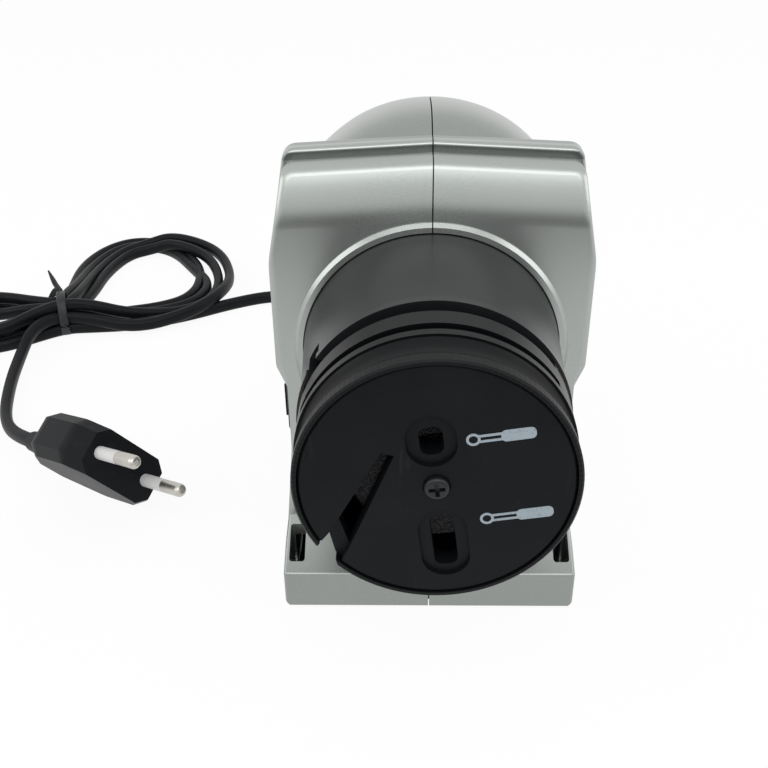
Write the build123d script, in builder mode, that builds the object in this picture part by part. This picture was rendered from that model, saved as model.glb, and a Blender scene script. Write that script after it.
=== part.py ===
from build123d import *
import os
from math import cos, pi, radians, sin, sqrt, tan

# Electric sharpener with a turning guide head.
# Millimetres. +Z is up, +X is right seen from the front, the head points to -Y.
# The origin lies on the table, below the middle of the body (head included, cord left out).

# ---------------------------------------------------------------- driving dimensions
# Overall places
axis_height = 74.0
nose_length = 57.0
rear_gap = 1.6

# Housing shell
wall = 2.4
seam_gap = 0.3
housing_bottom = 1.2
side_room = 5.0
base_flare = 2.7
flare_bottom = 16.0
flare_top = 44.0
flare_radius = 25.0
base_bevel = 1.2
arch_set = 19.0
arch_rise = 35.5
arch_steps = 12
hood_front_rise = 31.0
hood_length = 10.7
hood_steps = 2
tail_drop = 20.0
tail_rise = 27.0
tail_steps = 5
shoulder_step = 2.0
rear_round = 12.0
rear_corner_round = 13.0

# Fascia (the front plate) and the band behind it
fascia_depth = 6.0
fascia_rise = 30.3
fascia_crown = 1.9
crown_radius = 40.0
fascia_top_taper = 4.7
fascia_widest_rise = 23.5
fascia_widest_drop = 5.5
chamfer_drop = 12.4
fascia_corner_radius = 3.5
fascia_edge_radius = 1.9
band_depth = 4.8
band_height = 2.9
band_edge_radius = 0.9

# Base front with its ramp and the two bench slots
base_reach = 15.2
base_band_height = 12.4
ramp_top = 21.0
base_edge_radius = 1.0
slot_width = 4.3
slot_run = 9.5
slot_side = 3.5
slot_centre_reach = 7.2

# Raised ring on the fascia round the collar
ring_width = 2.2
ring_height = 1.2
ring_bevel = 0.9

# Collar (nose tube)
collar_front_depth = 23.2
collar_step = 0.4
collar_taper = 1.6
collar_wall = 1.9
collar_lip_length = 2.1
collar_lip_height = 0.5
collar_rear_wall = 2.8
collar_flange_width = 3.6
collar_flange_thickness = 3.0
collar_tail = 7.0
collar_clearance = 0.2
web_set = 4.0
web_thickness = 3.0

# Bayonet between collar and head
bayonet_angle = -61.0
bayonet_slot_width = 4.4
bayonet_turn = 30.0
bayonet_slot_length = 7.2
bayonet_track_length = 4.2
bayonet_track_depth = 1.3
lug_width = 3.8
lug_length = 3.4
lug_height = 1.0
lug_count = 2
unlock_travel = 23.2

# Guide head
head_radius = 30.0
head_twist = 6.8
spigot_wall = 1.8
sleeve_step = 0.3
rim_edge = 0.4
rim_groove = 0.5
spigot_clearance = 0.3
spigot_length = 14.8
rim_length = 2.8
concave_end = 9.9
concave_dip = 1.5
ring_two_end = 12.0
groove_two_end = 14.5
ring_one_end = 19.8
head_gap = 0.3
groove_depth = 2.0
groove_half_angle = 64.0
disc_rim = 1.4
disc_clearance = 0.25
disc_inset = 0.3
disc_thickness = 3.0
disc_edge = 0.4
guide_plate_margin = 0.8
guide_plate_gap = 0.3
guide_plate_thickness = 2.0
recess_depth = 1.0
recess_width = 10.4
top_recess_low = 5.0
top_recess_high = 17.2
low_recess_low = -24.0
low_recess_high = -6.2
hole_corner_radius = 1.9
top_hole_width = 4.9
top_hole_height = 6.7
top_hole_centre = 10.7
low_hole_width = 5.1
low_hole_height = 13.6
low_hole_centre = -14.9
screw_recess_radius = 2.9
screw_recess_depth = 0.6
head_screw_radius = 2.65
head_screw_height = 1.9
head_screw_shank = 1.5
head_screw_length = 5.6
cross_recess_width = 0.9
cross_recess_span = 3.4
plate_boss_radius = 3.6
sign_thickness = 0.12
sign_ring_radius = 1.45
sign_line_width = 0.55
sign_shaft_gap = 1.3
sign_handle_width = 2.7
sign_tilt = 2.0
sign_handle_share = 0.5
sign_places = (((13.9, 10.9), 14.0), ((15.7, -9.2), 15.3))

# Knife slot in the disc, seen from the front before the head is turned: a window onto the
# wheel, a floor below it and a notch through the rim
slot_left_top = (-10.3, 9.6)
slot_left_low = (-21.7, -6.5)
slot_right_top = (-7.7, 8.6)
slot_window_low = (-20.3, -14.2)
slot_notch_apex = (-24.2, -9.9)
slot_notch_left = (-27.0, -12.7)
slot_notch_right = (-23.3, -19.0)
slot_floor_depth = 1.8
slot_notch_depth = 11.0
slot_notch_reach = 1.3

# Grinding wheel and its seat on the shaft
wheel_radius = 19.5
wheel_front_depth = 8.0
wheel_thickness = 10.0
wheel_edge = 0.8
wheel_dish_radius = 8.0
wheel_dish_depth = 4.0
hub_radius = 12.0
hub_thickness = 4.0
nut_across_flats = 10.0
nut_thickness = 2.6
shaft_radius = 3.0
shaft_set_back = 1.0
shaft_edge = 0.5
shaft_end = 0.4
shaft_seat_clearance = 0.02
running_clearance = 0.04

# Ball bearings (19 mm over all, 6 mm wide, 6 mm bore)
bearing_radius = 9.5
bearing_width = 6.0
bearing_front_gap = 22.0
bearing_rear_gap = 4.0
bearing_lip = 0.5
bearing_seat_wall = 3.0
bearing_ring = 2.0
bearing_groove = 0.4

# Motor
stator_set = 48.0
stator_length = 26.0
stator_side_gap = 4.6
stator_height = 58.0
stator_yoke = 5.0
stator_corner = 5.0
pole_width = 18.0
stator_bore_radius = 16.6
pole_shoe_radius = 19.5
pole_shoe_angle = 60.0
coil_clearance = 0.5
coil_width = 7.0
coil_height = 4.0
armature_radius = 16.0
armature_slots = 12
armature_slot_width = 1.8
armature_slot_depth = 3.0
winding_radius = 14.5
winding_length = 7.5
commutator_radius = 9.0
commutator_length = 10.0
commutator_gap = 1.5
fan_radius = 24.5
fan_gap = 3.0
fan_length = 8.0
fan_plate = 1.6
fan_blades = 9
fan_blade_thickness = 1.4
fan_hub_radius = 6.5
brush_width = 5.0
brush_height = 7.0
brush_gap = 0.1
brush_length = 12.0
brush_tube_wall = 1.0
brush_tube_inner_x = 11.5
brush_tube_proud = 1.0
brush_clearance = 0.1
bracket_overhang = 1.0
bracket_seat = 0.3
bracket_leg_thickness = 5.4
bracket_half_height = 10.0
bracket_plate = 5.3
bracket_corner = 2.4
motor_screw_inset = 2.4
motor_screw_z = 7.2
motor_screw_radius = 1.5
motor_screw_head_radius = 2.7
motor_screw_head_height = 2.0
motor_nut_across_flats = 5.5
motor_nut_thickness = 2.4
brush_spring_wire = 0.3
brush_spring_radius = 2.0
brush_spring_turns = 5
commutator_bars = 12
commutator_groove = 0.5
brush_cap = 1.0
rib_thickness = 2.4
rib_drop = 39.0
rib_rise = 34.0
stator_rib_inset = 3.0

# Rocker switch on the left side
switch_set = 19.5
switch_height = 51.5
switch_end_wall = 0.9
switch_side_wall = 1.35
switch_fit = 0.1
bezel_overlap = 1.2
bezel_thickness = 1.4
switch_frame_depth = 13.0
rocker_half_length = 8.0
rocker_pin_reach = 1.0
bezel_seat_gap = 0.15
rocker_height = 10.2
rocker_clearance = 0.25
rocker_pocket_depth = 8.0
rocker_pivot_inset = 3.3
rocker_pin_radius = 1.0
rocker_tilt = 9.0
rocker_end_rise = 3.0
rocker_mid_rise = 1.9
rocker_foot = 3.0
rocker_foot_half_length = 5.0
terminal_length = 6.0
terminal_height = 4.8
terminal_thickness = 0.8
terminal_pitch = 7.0

# Fasteners of the housing and the base plate
boss_radius = 4.0
housing_screw_radius = 1.5
housing_screw_head_radius = 2.8
housing_screw_head_x = 12.0
housing_screw_length = 22.0
screw_hole_clearance = 0.2
housing_screw_core = 1.52
base_screw_core = 1.5
base_screw_bite = 10.0
base_screw_sink = 1.6
housing_screw_head_height = 2.0
base_plate_thickness = 2.6
base_plate_clearance = 0.2
base_boss_top = 16.0
base_screw_side = 5.7
base_screw_head_radius = 2.6
base_screw_length = 9.0
foot_radius = 6.0
foot_height = 2.6
foot_seat_depth = 1.4
foot_edge_radius = 0.6
foot_side = 11.7
foot_inset = 13.0
vent_width = 3.0
vent_length = 18.0
vent_count = 5
vent_pitch = 6.5
bottom_vent_set = 17.0

# Wiring inside
block_length = 18.0
block_width = 22.0
block_height = 12.5
block_set = 33.0
block_well_radius = 2.2
capacitor_size = (11.0, 22.0, 15.0)
capacitor_side = 17.7
capacitor_set = 51.0
lead_radius = 0.9
capacitor_edge = 1.0
block_well_depth = 5.0
block_pitch_x = 11.0
block_pitch_y = 9.0
block_screw_height = 2.0
lead_bend = 2.0

# Cord grip, cord, plug
cord_radius = 2.5
cord_exit_height = 13.0
grip_neck_radius = 4.4
grip_outer_radius = 5.0
grip_flange_radius = 6.2
grip_flange_thickness = 2.0
grip_length = 18.0
grip_collar = 3.0
grip_tip_radius = 3.6
clamp_set = 12.0
clamp_width = 22.0
clamp_length = 5.0
clamp_thickness = 2.4
clamp_gap = 0.6
clamp_screw_x = 7.0
clamp_screw_radius = 1.2
clamp_screw_head_radius = 2.2
clamp_screw_head_height = 1.5
clamp_screw_length = 7.0

# Free cord: its route from the grip to the hank and from the hank to the plug (X, Y, Z)
cord_route = ((0, 93.5, 13.0), (0, 114, 13.0), (-14, 136, 8.0), (-36, 151, 3.4),
              (-62, 157, 2.8), (-87, 150, 4.4))
lead_route_end = ((-150, 58, 2.9), (-155, 80, 2.8), (-154, 102, 3.2), (-151.2, 123.3, 6.4))
lead_first_run = 14.0
bend_share = 0.45

# Hank of folded cord, tied at its neck, seen from above (X, Y)
hank_bottom = 1.5
hank_height = 14.0
hank_outline = ((-143.6, 125), (-118, 122), (-88, 136), (-80, 158), (-86, 188), (-102, 208),
                (-124, 221), (-146, 219), (-158, 200), (-157, 165), (-151, 141.4), (-156.4, 139),
                (-178, 150), (-200, 150), (-212, 132), (-205, 112), (-185, 104), (-165, 110),
                (-149, 122.6))
hank_hole = ((-138, 140), (-112, 147), (-101, 160), (-106, 182), (-122, 198), (-136, 199), (-143, 180),
             (-144, 155))
hank_small_hole = ((-170, 129), (-186, 135), (-197, 130), (-191, 119), (-175, 120))
hank_edge = 3.0
tie_centre = (-150.0, 132.0)
tie_angle = 24.3
tie_width = 3.5
tie_reach = 9.6
tie_thickness = 0.8
tie_clearance = 0.3

# Two-pin plug, lying on its bevelled edge
plug_centre = (-104.0, 13.0, 17.9)
plug_pin_axis = (0.743, -0.618, 0.258)
plug_across = (0.543, 0.318, -0.777)
plug_front = 18.0
plug_back = -20.0
plug_half_width = 17.5
plug_face_half_width = 13.5
plug_tail_half_width = 6.0
plug_cheek = 6.0
plug_shoulder = 14.0
plug_thickness = 15.0
plug_bevel = 3.0
plug_boot_length = 16.0
plug_boot_radius = 5.0
plug_boot_tip_radius = 3.4
pin_spacing = 18.6
pin_radius = 2.0
pin_length = 19.0
pin_sleeve_length = 10.0
pin_sleeve_wall = 0.35

# ---------------------------------------------------------------- places worked out
collar_front_radius = head_radius + collar_step
collar_rear_radius = collar_front_radius + collar_taper
collar_bore_radius = collar_front_radius - collar_wall
collar_rear_bore = collar_rear_radius - collar_rear_wall
collar_flange_radius = collar_rear_radius + collar_flange_width
spigot_radius = collar_bore_radius - spigot_clearance
sleeve_inner_radius = spigot_radius - spigot_wall
spigot_end_depth = collar_front_depth + spigot_length
disc_radius = head_radius - disc_rim
guide_plate_radius = sleeve_inner_radius - guide_plate_margin

neck_half_width = collar_rear_radius + side_room
base_half_width = neck_half_width + base_flare
arch_centre = axis_height + arch_set
shoulder_height = arch_centre - tail_drop - shoulder_step
fascia_top = arch_centre + fascia_rise
fascia_top_half_width = base_half_width - fascia_top_taper
fascia_widest_top = axis_height + fascia_widest_rise
fascia_widest_bottom = axis_height - fascia_widest_drop
chamfer_bottom = axis_height - chamfer_drop

wheel_back_depth = wheel_front_depth + wheel_thickness
shaft_front_depth = wheel_front_depth + shaft_set_back
bearing_front_depth = wheel_back_depth + bearing_front_gap
bearing_front_end = bearing_front_depth + bearing_width
web_depth = bearing_front_depth + web_set
web_end = web_depth + web_thickness
fan_depth = web_end + fan_gap
fan_end = fan_depth + fan_length
stator_centre_depth = nose_length + stator_set
stator_front_depth = stator_centre_depth - stator_length / 2
stator_rear_depth = stator_centre_depth + stator_length / 2
stator_width = 2 * (neck_half_width - wall - stator_side_gap)
window_width = stator_width - 2 * stator_yoke
window_height = stator_height - 2 * stator_yoke
winding_front = stator_front_depth - winding_length
winding_rear = stator_rear_depth + winding_length
commutator_depth = winding_rear + commutator_gap
commutator_end = commutator_depth + commutator_length
bearing_rear_depth = commutator_end + bearing_rear_gap
bearing_rear_end = bearing_rear_depth + bearing_width

total_length = bearing_rear_end + rear_gap + wall
head_front_y = -total_length / 2
fascia_y = head_front_y + nose_length
rear_y = total_length / 2
base_front_y = fascia_y - base_reach
band_y = fascia_y + fascia_depth
body_y = band_y + band_depth
hood_end_y = body_y + hood_length
floor_top = housing_bottom + base_plate_thickness
slot_centre_x = base_half_width - slot_side
foot_x = base_half_width - foot_side
base_screw_x = base_half_width - base_screw_side
capacitor_x = base_half_width - capacitor_side
motor_screw_x = stator_width / 2 - motor_screw_inset
bracket_half_width = stator_width / 2 + bracket_overhang
brush_tube_outer_x = bracket_half_width + brush_tube_proud
rib_low = axis_height - rib_drop
rib_high = axis_height + rib_rise
switch_depth = nose_length + switch_set
rocker_reach = sqrt(rocker_half_length ** 2 + rocker_end_rise ** 2)
switch_cutout_length = 2 * (rocker_reach + rocker_clearance + switch_end_wall + switch_fit)
switch_cutout_height = rocker_height + 2 * (rocker_clearance + switch_side_wall + switch_fit)
rocker_pin_span = rocker_height + 2 * rocker_pin_reach
block_depth = total_length - block_set
capacitor_depth = total_length - capacitor_set
clamp_depth = total_length - clamp_set

head_axis = Axis((0, head_front_y, axis_height), (0, 1, 0))

os.makedirs("parts", exist_ok=True)


def save(part, name):
    """Label a finished piece and write its STEP file."""
    part.label = name
    export_step(part, "parts/" + name + ".step")


def cross(y):
    """Upright plane across the housing: local x is X, local y is Z, and it faces the front."""
    return Plane(origin=(0, y, 0), x_dir=(1, 0, 0), z_dir=(0, -1, 0))


def at_depth(depth, twist=0.0):
    """Plane on the head axis, a distance behind the head's front face, turned about the axis."""
    across = (cos(radians(twist)), 0, sin(radians(twist)))
    return Plane(origin=(0, head_front_y + depth, axis_height), x_dir=across, z_dir=(0, -1, 0))


def turned(points, start=0.0):
    """Half section of a round piece from (depth, radius) points, clockwise from the top by an angle."""
    normal = (cos(radians(start)), 0, -sin(radians(start)))
    plane = Plane(origin=(0, head_front_y, axis_height), x_dir=(0, 1, 0), z_dir=normal)
    with BuildSketch(plane) as section:
        with BuildLine():
            Polyline(*points, close=True)
        make_face()
    return section.sketch


# ---------------------------------------------------------------- housing shape
def body_section(y, inset=0.0, bottom=housing_bottom):
    """Section of the body below the roof: straight neck, flared base with bevelled corners."""
    neck = neck_half_width - inset
    base = base_half_width - inset
    bevel = max(base_bevel - inset / 2, 0.2)
    with BuildSketch(cross(y)) as section:
        with BuildLine():
            for side in (-1, 1):
                FilletPolyline((side * neck, shoulder_height), (side * neck, flare_top),
                               (side * base, flare_bottom), (side * base, bottom + bevel),
                               radius=[flare_radius, flare_radius])
            Polyline((base, bottom + bevel), (base - bevel, bottom),
                     (bevel - base, bottom), (-base, bottom + bevel))
            Line((-neck, shoulder_height), (neck, shoulder_height))
        make_face()
    return section.sketch


def roof_shape(y):
    """Height of the arch's springing and its rise: an arc up to the crest, then a fall to the rear."""
    if y < hood_end_y:
        climb = arch_rise - hood_front_rise
        radius = (hood_length ** 2 + climb ** 2) / (2 * climb)
        return arch_centre, arch_rise - radius + sqrt(radius ** 2 - (hood_end_y - max(y, body_y)) ** 2)
    fall = ((y - hood_end_y) / (rear_y - hood_end_y)) ** 2
    return arch_centre - tail_drop * fall, arch_rise + (tail_rise - arch_rise) * fall


def roof_section(y, inset=0.0):
    """Section of the body above the shoulders: upright sides under half an ellipse."""
    neck = neck_half_width - inset
    spring, rise = roof_shape(y)
    with BuildSketch(cross(y)) as section:
        with BuildLine():
            Polyline((-neck, spring), (-neck, shoulder_height), (neck, shoulder_height), (neck, spring))
            Spline(*[(neck * cos(pi * step / arch_steps),
                      spring + (rise - inset) * sin(pi * step / arch_steps))
                     for step in range(arch_steps + 1)], tangents=((0, 1), (0, -1)))
        make_face()
    return section.sketch


def fascia_section(y, top, inset=0.0, bottom=housing_bottom):
    """Outline of the fascia: crowned top, wide middle, chamfers down to the neck, flared base."""
    neck = neck_half_width - inset
    base = base_half_width - inset
    top_side = fascia_top_half_width - inset
    high = top - inset
    corner = max(fascia_corner_radius - inset, 0.5)
    bevel = max(base_bevel - inset / 2, 0.2)
    right = [(base, bottom + bevel), (base, flare_bottom), (neck, flare_top),
             (neck, chamfer_bottom - inset / 2), (base, fascia_widest_bottom),
             (base, fascia_widest_top), (top_side, high - fascia_crown)]
    left = [(-x, z) for x, z in reversed(right)]
    radii = [flare_radius, flare_radius, corner, corner, flare_radius, corner]
    with BuildSketch(cross(y)) as section:
        with BuildLine():
            FilletPolyline(*right, (0, high), *left, radius=[*radii, crown_radius, *radii[::-1]])
            Polyline((base, bottom + bevel), (base - bevel, bottom),
                     (bevel - base, bottom), (-base, bottom + bevel))
        make_face()
    return section.sketch


def ramp_cutter(inset):
    """Everything in front of the fascia that lies above the base band and its ramp."""
    front = base_front_y - 5
    drop = inset * 1.1
    back = fascia_y + inset
    with BuildPart() as cutter:
        with BuildSketch(Plane.YZ.offset(-2 * base_half_width)):
            with BuildLine():
                Polyline((front, base_band_height - drop), (base_front_y, base_band_height - drop),
                         (back, ramp_top - drop), (back, 2 * fascia_top), (front, 2 * fascia_top), close=True)
            make_face()
        extrude(amount=4 * base_half_width)
    return cutter.part


def rear_envelope(inset):
    """Everything inside the rounded upright corners and the rounded top edge of the rear."""
    back = rear_y - inset
    front = base_front_y - 5
    spring, rise = roof_shape(back)
    top = spring + rise - inset
    run = back - hood_end_y
    high = top + 2 * (tail_drop + arch_rise - tail_rise) / (rear_y - hood_end_y) * run
    with BuildPart() as envelope:
        with BuildSketch():
            with Locations((0, (front + back) / 2)):
                Rectangle(2 * (base_half_width - inset), back - front)
            fillet(vertices().group_by(Axis.Y)[-1], rear_corner_round - inset)
        extrude(amount=high)
        with BuildSketch(Plane.YZ.offset(-base_half_width)):
            with BuildLine():
                FilletPolyline((back, -1), (back, top), (hood_end_y, high), radius=rear_round - inset)
                Polyline((hood_end_y, high), (front, high), (front, -1), (back, -1))
            make_face()
        extrude(amount=2 * base_half_width, mode=Mode.INTERSECT)
    return envelope.part


def housing_block(inset=0.0, bottom=housing_bottom):
    """Solid block of the housing's shape, inset evenly to make the inside of the shell."""
    with BuildPart() as band:
        extrude(fascia_section(band_y, fascia_top + band_height), amount=-band_depth)
        band_rims = band.edges().filter_by(
            lambda edge: edge.center().Z > flare_top and abs(edge.tangent_at(0).Y) < 0.5)
        fillet(band_rims, band_edge_radius)
    with BuildPart() as block:
        extrude(fascia_section(fascia_y + inset, fascia_top, inset, bottom),
                amount=-(fascia_depth + (band_depth - 2 * inset if inset else 0)))
        if not inset:
            front_edges = block.edges().group_by(Axis.Y)[0].filter_by(
                lambda edge: edge.center().Z > bottom + 1)
            fillet(front_edges, fascia_edge_radius)
            add(band.part)
        start = body_y if not inset else fascia_y + inset
        length = rear_y - inset - start
        extrude(body_section(start, inset, bottom), amount=-length)
        tail_length = rear_y - inset - hood_end_y
        steps = [*[body_y + hood_length * step / hood_steps for step in range(hood_steps)],
                 *[hood_end_y + tail_length * step / tail_steps for step in range(tail_steps + 1)]]
        loft([roof_section(y, inset) for y in steps])
        if inset:
            extrude(roof_section(start, inset), amount=-(body_y - start))
        add(rear_envelope(inset), mode=Mode.INTERSECT)
    with BuildPart() as base_front:
        extrude(body_section(base_front_y + inset, inset, bottom),
                amount=-(base_reach + 1))
        add(ramp_cutter(inset), mode=Mode.SUBTRACT)
        if not inset:
            base_edges = base_front.edges().filter_by(
                lambda edge: edge.center().Y < fascia_y - 0.5 and edge.center().Z > bottom + 3)
            fillet(base_edges, base_edge_radius)
        add(block.part)
    return base_front.part


# ---------------------------------------------------------------- housing halves
def turned_ring(inner, outer, start_depth, end_depth):
    """Half section of a plain ring about the head axis."""
    return turned([(start_depth, inner), (end_depth, inner), (end_depth, outer), (start_depth, outer)])


flange_depth = nose_length + wall + collar_clearance
flange_rib_depth = flange_depth + collar_flange_thickness + collar_clearance
stator_rib_depths = (stator_front_depth + stator_rib_inset, stator_rear_depth - stator_rib_inset)
housing_screw_places = ((nose_length + 15.0, arch_centre + 22.5), (total_length - 15.0, arch_centre + 3.0),
                        (nose_length + 13.0, 25.0), (total_length - 9.5, 26.0))
base_screw_depths = (nose_length + 19.0, total_length - 23.0)
rib_root = 0.4

with BuildPart() as inner_frame:
    for rib_depth in stator_rib_depths:
        with BuildSketch(at_depth(rib_depth - rib_thickness / 2)):
            with Locations((0, (rib_low + rib_high) / 2 - axis_height)):
                Rectangle(2 * base_half_width, rib_high - rib_low)
            Rectangle(stator_width, stator_height, mode=Mode.SUBTRACT)
        extrude(amount=-rib_thickness)
    with BuildSketch(at_depth(flange_rib_depth)):
        Rectangle(2 * base_half_width, 2 * collar_flange_radius)
        Circle(collar_rear_radius + 1, mode=Mode.SUBTRACT)
    extrude(amount=-rib_thickness)
    for depth, height in housing_screw_places:
        with BuildSketch(Plane.YZ.offset(-base_half_width)):
            with Locations((head_front_y + depth, height)):
                Circle(boss_radius)
        extrude(amount=2 * base_half_width)
    for depth in base_screw_depths:
        with BuildSketch(Plane.XY.offset(floor_top)):
            with Locations((base_screw_x, head_front_y + depth), (-base_screw_x, head_front_y + depth)):
                Circle(boss_radius)
        extrude(amount=base_boss_top - floor_top)
    add(housing_block(wall - rib_root, bottom=floor_top), mode=Mode.INTERSECT)

with BuildPart() as housing:
    add(housing_block())
    add(housing_block(wall, bottom=housing_bottom - 2), mode=Mode.SUBTRACT)
    add(inner_frame.part)
    ring_inner = collar_rear_radius + collar_clearance
    ring_outer = ring_inner + ring_width
    ring_front = nose_length - ring_height
    revolve(turned([(nose_length + 1, ring_inner), (ring_front, ring_inner),
                    (ring_front, ring_outer - ring_bevel), (ring_front + ring_bevel, ring_outer),
                    (nose_length + 1, ring_outer)]), axis=head_axis)
    revolve(turned([(nose_length - ring_height - 1, 0), (flange_depth, 0), (flange_depth, ring_inner),
                    (nose_length - ring_height - 1, ring_inner)]), axis=head_axis, mode=Mode.SUBTRACT)
    with BuildSketch(Plane.XY.offset(floor_top + 3)):
        with Locations((slot_centre_x, fascia_y - slot_centre_reach),
                       (-slot_centre_x, fascia_y - slot_centre_reach)):
            Rectangle(slot_width, slot_run)
        fillet(vertices(), 0.8)
    extrude(amount=ramp_top, mode=Mode.SUBTRACT)
    with BuildSketch(cross(rear_y + 1)):
        with Locations(*[(vent_pitch * (i - (vent_count - 1) / 2), axis_height) for i in range(vent_count)]):
            SlotOverall(vent_length, vent_width, rotation=90)
        with Locations((0, cord_exit_height)):
            Circle(grip_neck_radius + collar_clearance)
    extrude(amount=wall + 2, mode=Mode.SUBTRACT)
    for depth in base_screw_depths:
        with Locations((base_screw_x, head_front_y + depth, floor_top),
                       (-base_screw_x, head_front_y + depth, floor_top)):
            Cylinder(base_screw_core, 2 * base_screw_bite, mode=Mode.SUBTRACT)

with BuildPart() as housing_left:
    add(housing.part)
    split(bisect_by=Plane.YZ.offset(-seam_gap / 2), keep=Keep.BOTTOM)
    for depth, height in housing_screw_places:
        with BuildSketch(Plane.YZ.offset(-seam_gap / 2)):
            with Locations((head_front_y + depth, height)):
                Circle(housing_screw_core)
        extrude(amount=-(housing_screw_length - housing_screw_head_x + 1), mode=Mode.SUBTRACT)
    with BuildSketch(Plane.YZ.offset(-base_half_width - 1)):
        with Locations((head_front_y + switch_depth, switch_height)):
            Rectangle(switch_cutout_length, switch_cutout_height)
    extrude(amount=wall + base_half_width - neck_half_width + 2, mode=Mode.SUBTRACT)

with BuildPart() as housing_right:
    add(housing.part)
    split(bisect_by=Plane.YZ.offset(seam_gap / 2), keep=Keep.TOP)
    for depth, height in housing_screw_places:
        with BuildSketch(Plane.YZ):
            with Locations((head_front_y + depth, height)):
                Circle(housing_screw_radius + screw_hole_clearance)
        extrude(amount=base_half_width, mode=Mode.SUBTRACT)
        with BuildSketch(Plane.YZ.offset(housing_screw_head_x)):
            with Locations((head_front_y + depth, height)):
                Circle(housing_screw_head_radius + screw_hole_clearance)
        extrude(amount=base_half_width, mode=Mode.SUBTRACT)

save(housing_left.part, "housing_left")
save(housing_right.part, "housing_right")

# ---------------------------------------------------------------- base plate and feet
foot_places = ((foot_x, base_front_y + foot_inset), (-foot_x, base_front_y + foot_inset),
               (foot_x, rear_y - foot_inset), (-foot_x, rear_y - foot_inset))
base_screw_points = [(side * base_screw_x, head_front_y + depth)
                     for side in (-1, 1) for depth in base_screw_depths]

with BuildPart() as base_plate:
    add(housing_block(wall + base_plate_clearance, bottom=housing_bottom))
    with BuildSketch(Plane.XY.offset(floor_top)):
        Rectangle(4 * base_half_width, 2 * total_length)
    extrude(amount=2 * axis_height, mode=Mode.SUBTRACT)
    with BuildSketch(Plane.XY.offset(housing_bottom)):
        with Locations(*foot_places):
            Circle(foot_radius)
    extrude(amount=foot_seat_depth, mode=Mode.SUBTRACT)
    with BuildSketch(Plane.XY.offset(housing_bottom)):
        with Locations(*base_screw_points):
            Circle(base_screw_core + screw_hole_clearance)
        with Locations((0, head_front_y + nose_length + bottom_vent_set)):
            with GridLocations(vent_pitch, 1, vent_count, 1):
                SlotOverall(vent_length, vent_width, rotation=90)
    extrude(amount=base_plate_thickness, mode=Mode.SUBTRACT)
    with BuildSketch(Plane.XY.offset(housing_bottom)):
        with Locations(*base_screw_points):
            Circle(base_screw_head_radius + screw_hole_clearance)
    extrude(amount=base_screw_sink, mode=Mode.SUBTRACT)
save(base_plate.part, "base_plate")

with BuildPart() as rubber_feet:
    for x, y in foot_places:
        with Locations((x, y, 0)):
            Cylinder(foot_radius - screw_hole_clearance, foot_height,
                     align=(Align.CENTER, Align.CENTER, Align.MIN))
    fillet(rubber_feet.edges().group_by(Axis.Z)[0], foot_edge_radius)
save(rubber_feet.part, "rubber_feet")


def screw_solid(plane, head_radius, head_height, shank_radius, length):
    """A cross-head screw whose head rests on a plane, the shank running against its normal."""
    with BuildPart() as screw:
        with BuildSketch(plane):
            Circle(head_radius)
        extrude(amount=head_height)
        fillet(screw.faces().sort_by(Axis(plane.origin, plane.z_dir))[-1].edges(), head_height * 0.4)
        with BuildSketch(plane.offset(head_height)):
            Rectangle(cross_recess_span, cross_recess_width)
            Rectangle(cross_recess_width, cross_recess_span)
        extrude(amount=-head_height * 0.6, mode=Mode.SUBTRACT)
        with BuildSketch(plane):
            Circle(shank_radius)
        extrude(amount=-length)
    return screw.part


with BuildPart() as base_screws:
    for x, y in base_screw_points:
        seat = Plane(origin=(x, y, housing_bottom + base_screw_sink), x_dir=(1, 0, 0), z_dir=(0, 0, -1))
        add(screw_solid(seat, base_screw_head_radius, base_screw_sink - screw_hole_clearance,
                        base_screw_core, base_screw_length))
save(base_screws.part, "base_screws")

with BuildPart() as housing_screws:
    for depth, height in housing_screw_places:
        seat = Plane(origin=(housing_screw_head_x, head_front_y + depth, height), z_dir=(1, 0, 0))
        add(screw_solid(seat, housing_screw_head_radius, housing_screw_head_height,
                        housing_screw_radius, housing_screw_length))
save(housing_screws.part, "housing_screws")

# ---------------------------------------------------------------- collar with its bayonet
lug_angles = [bayonet_angle + 360 / lug_count * i for i in range(lug_count)]
slot_arc = bayonet_slot_width / collar_bore_radius * 180 / pi
track_front = collar_front_depth + bayonet_slot_length - bayonet_track_length
bearing_boss_radius = bearing_radius + bearing_seat_wall

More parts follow.
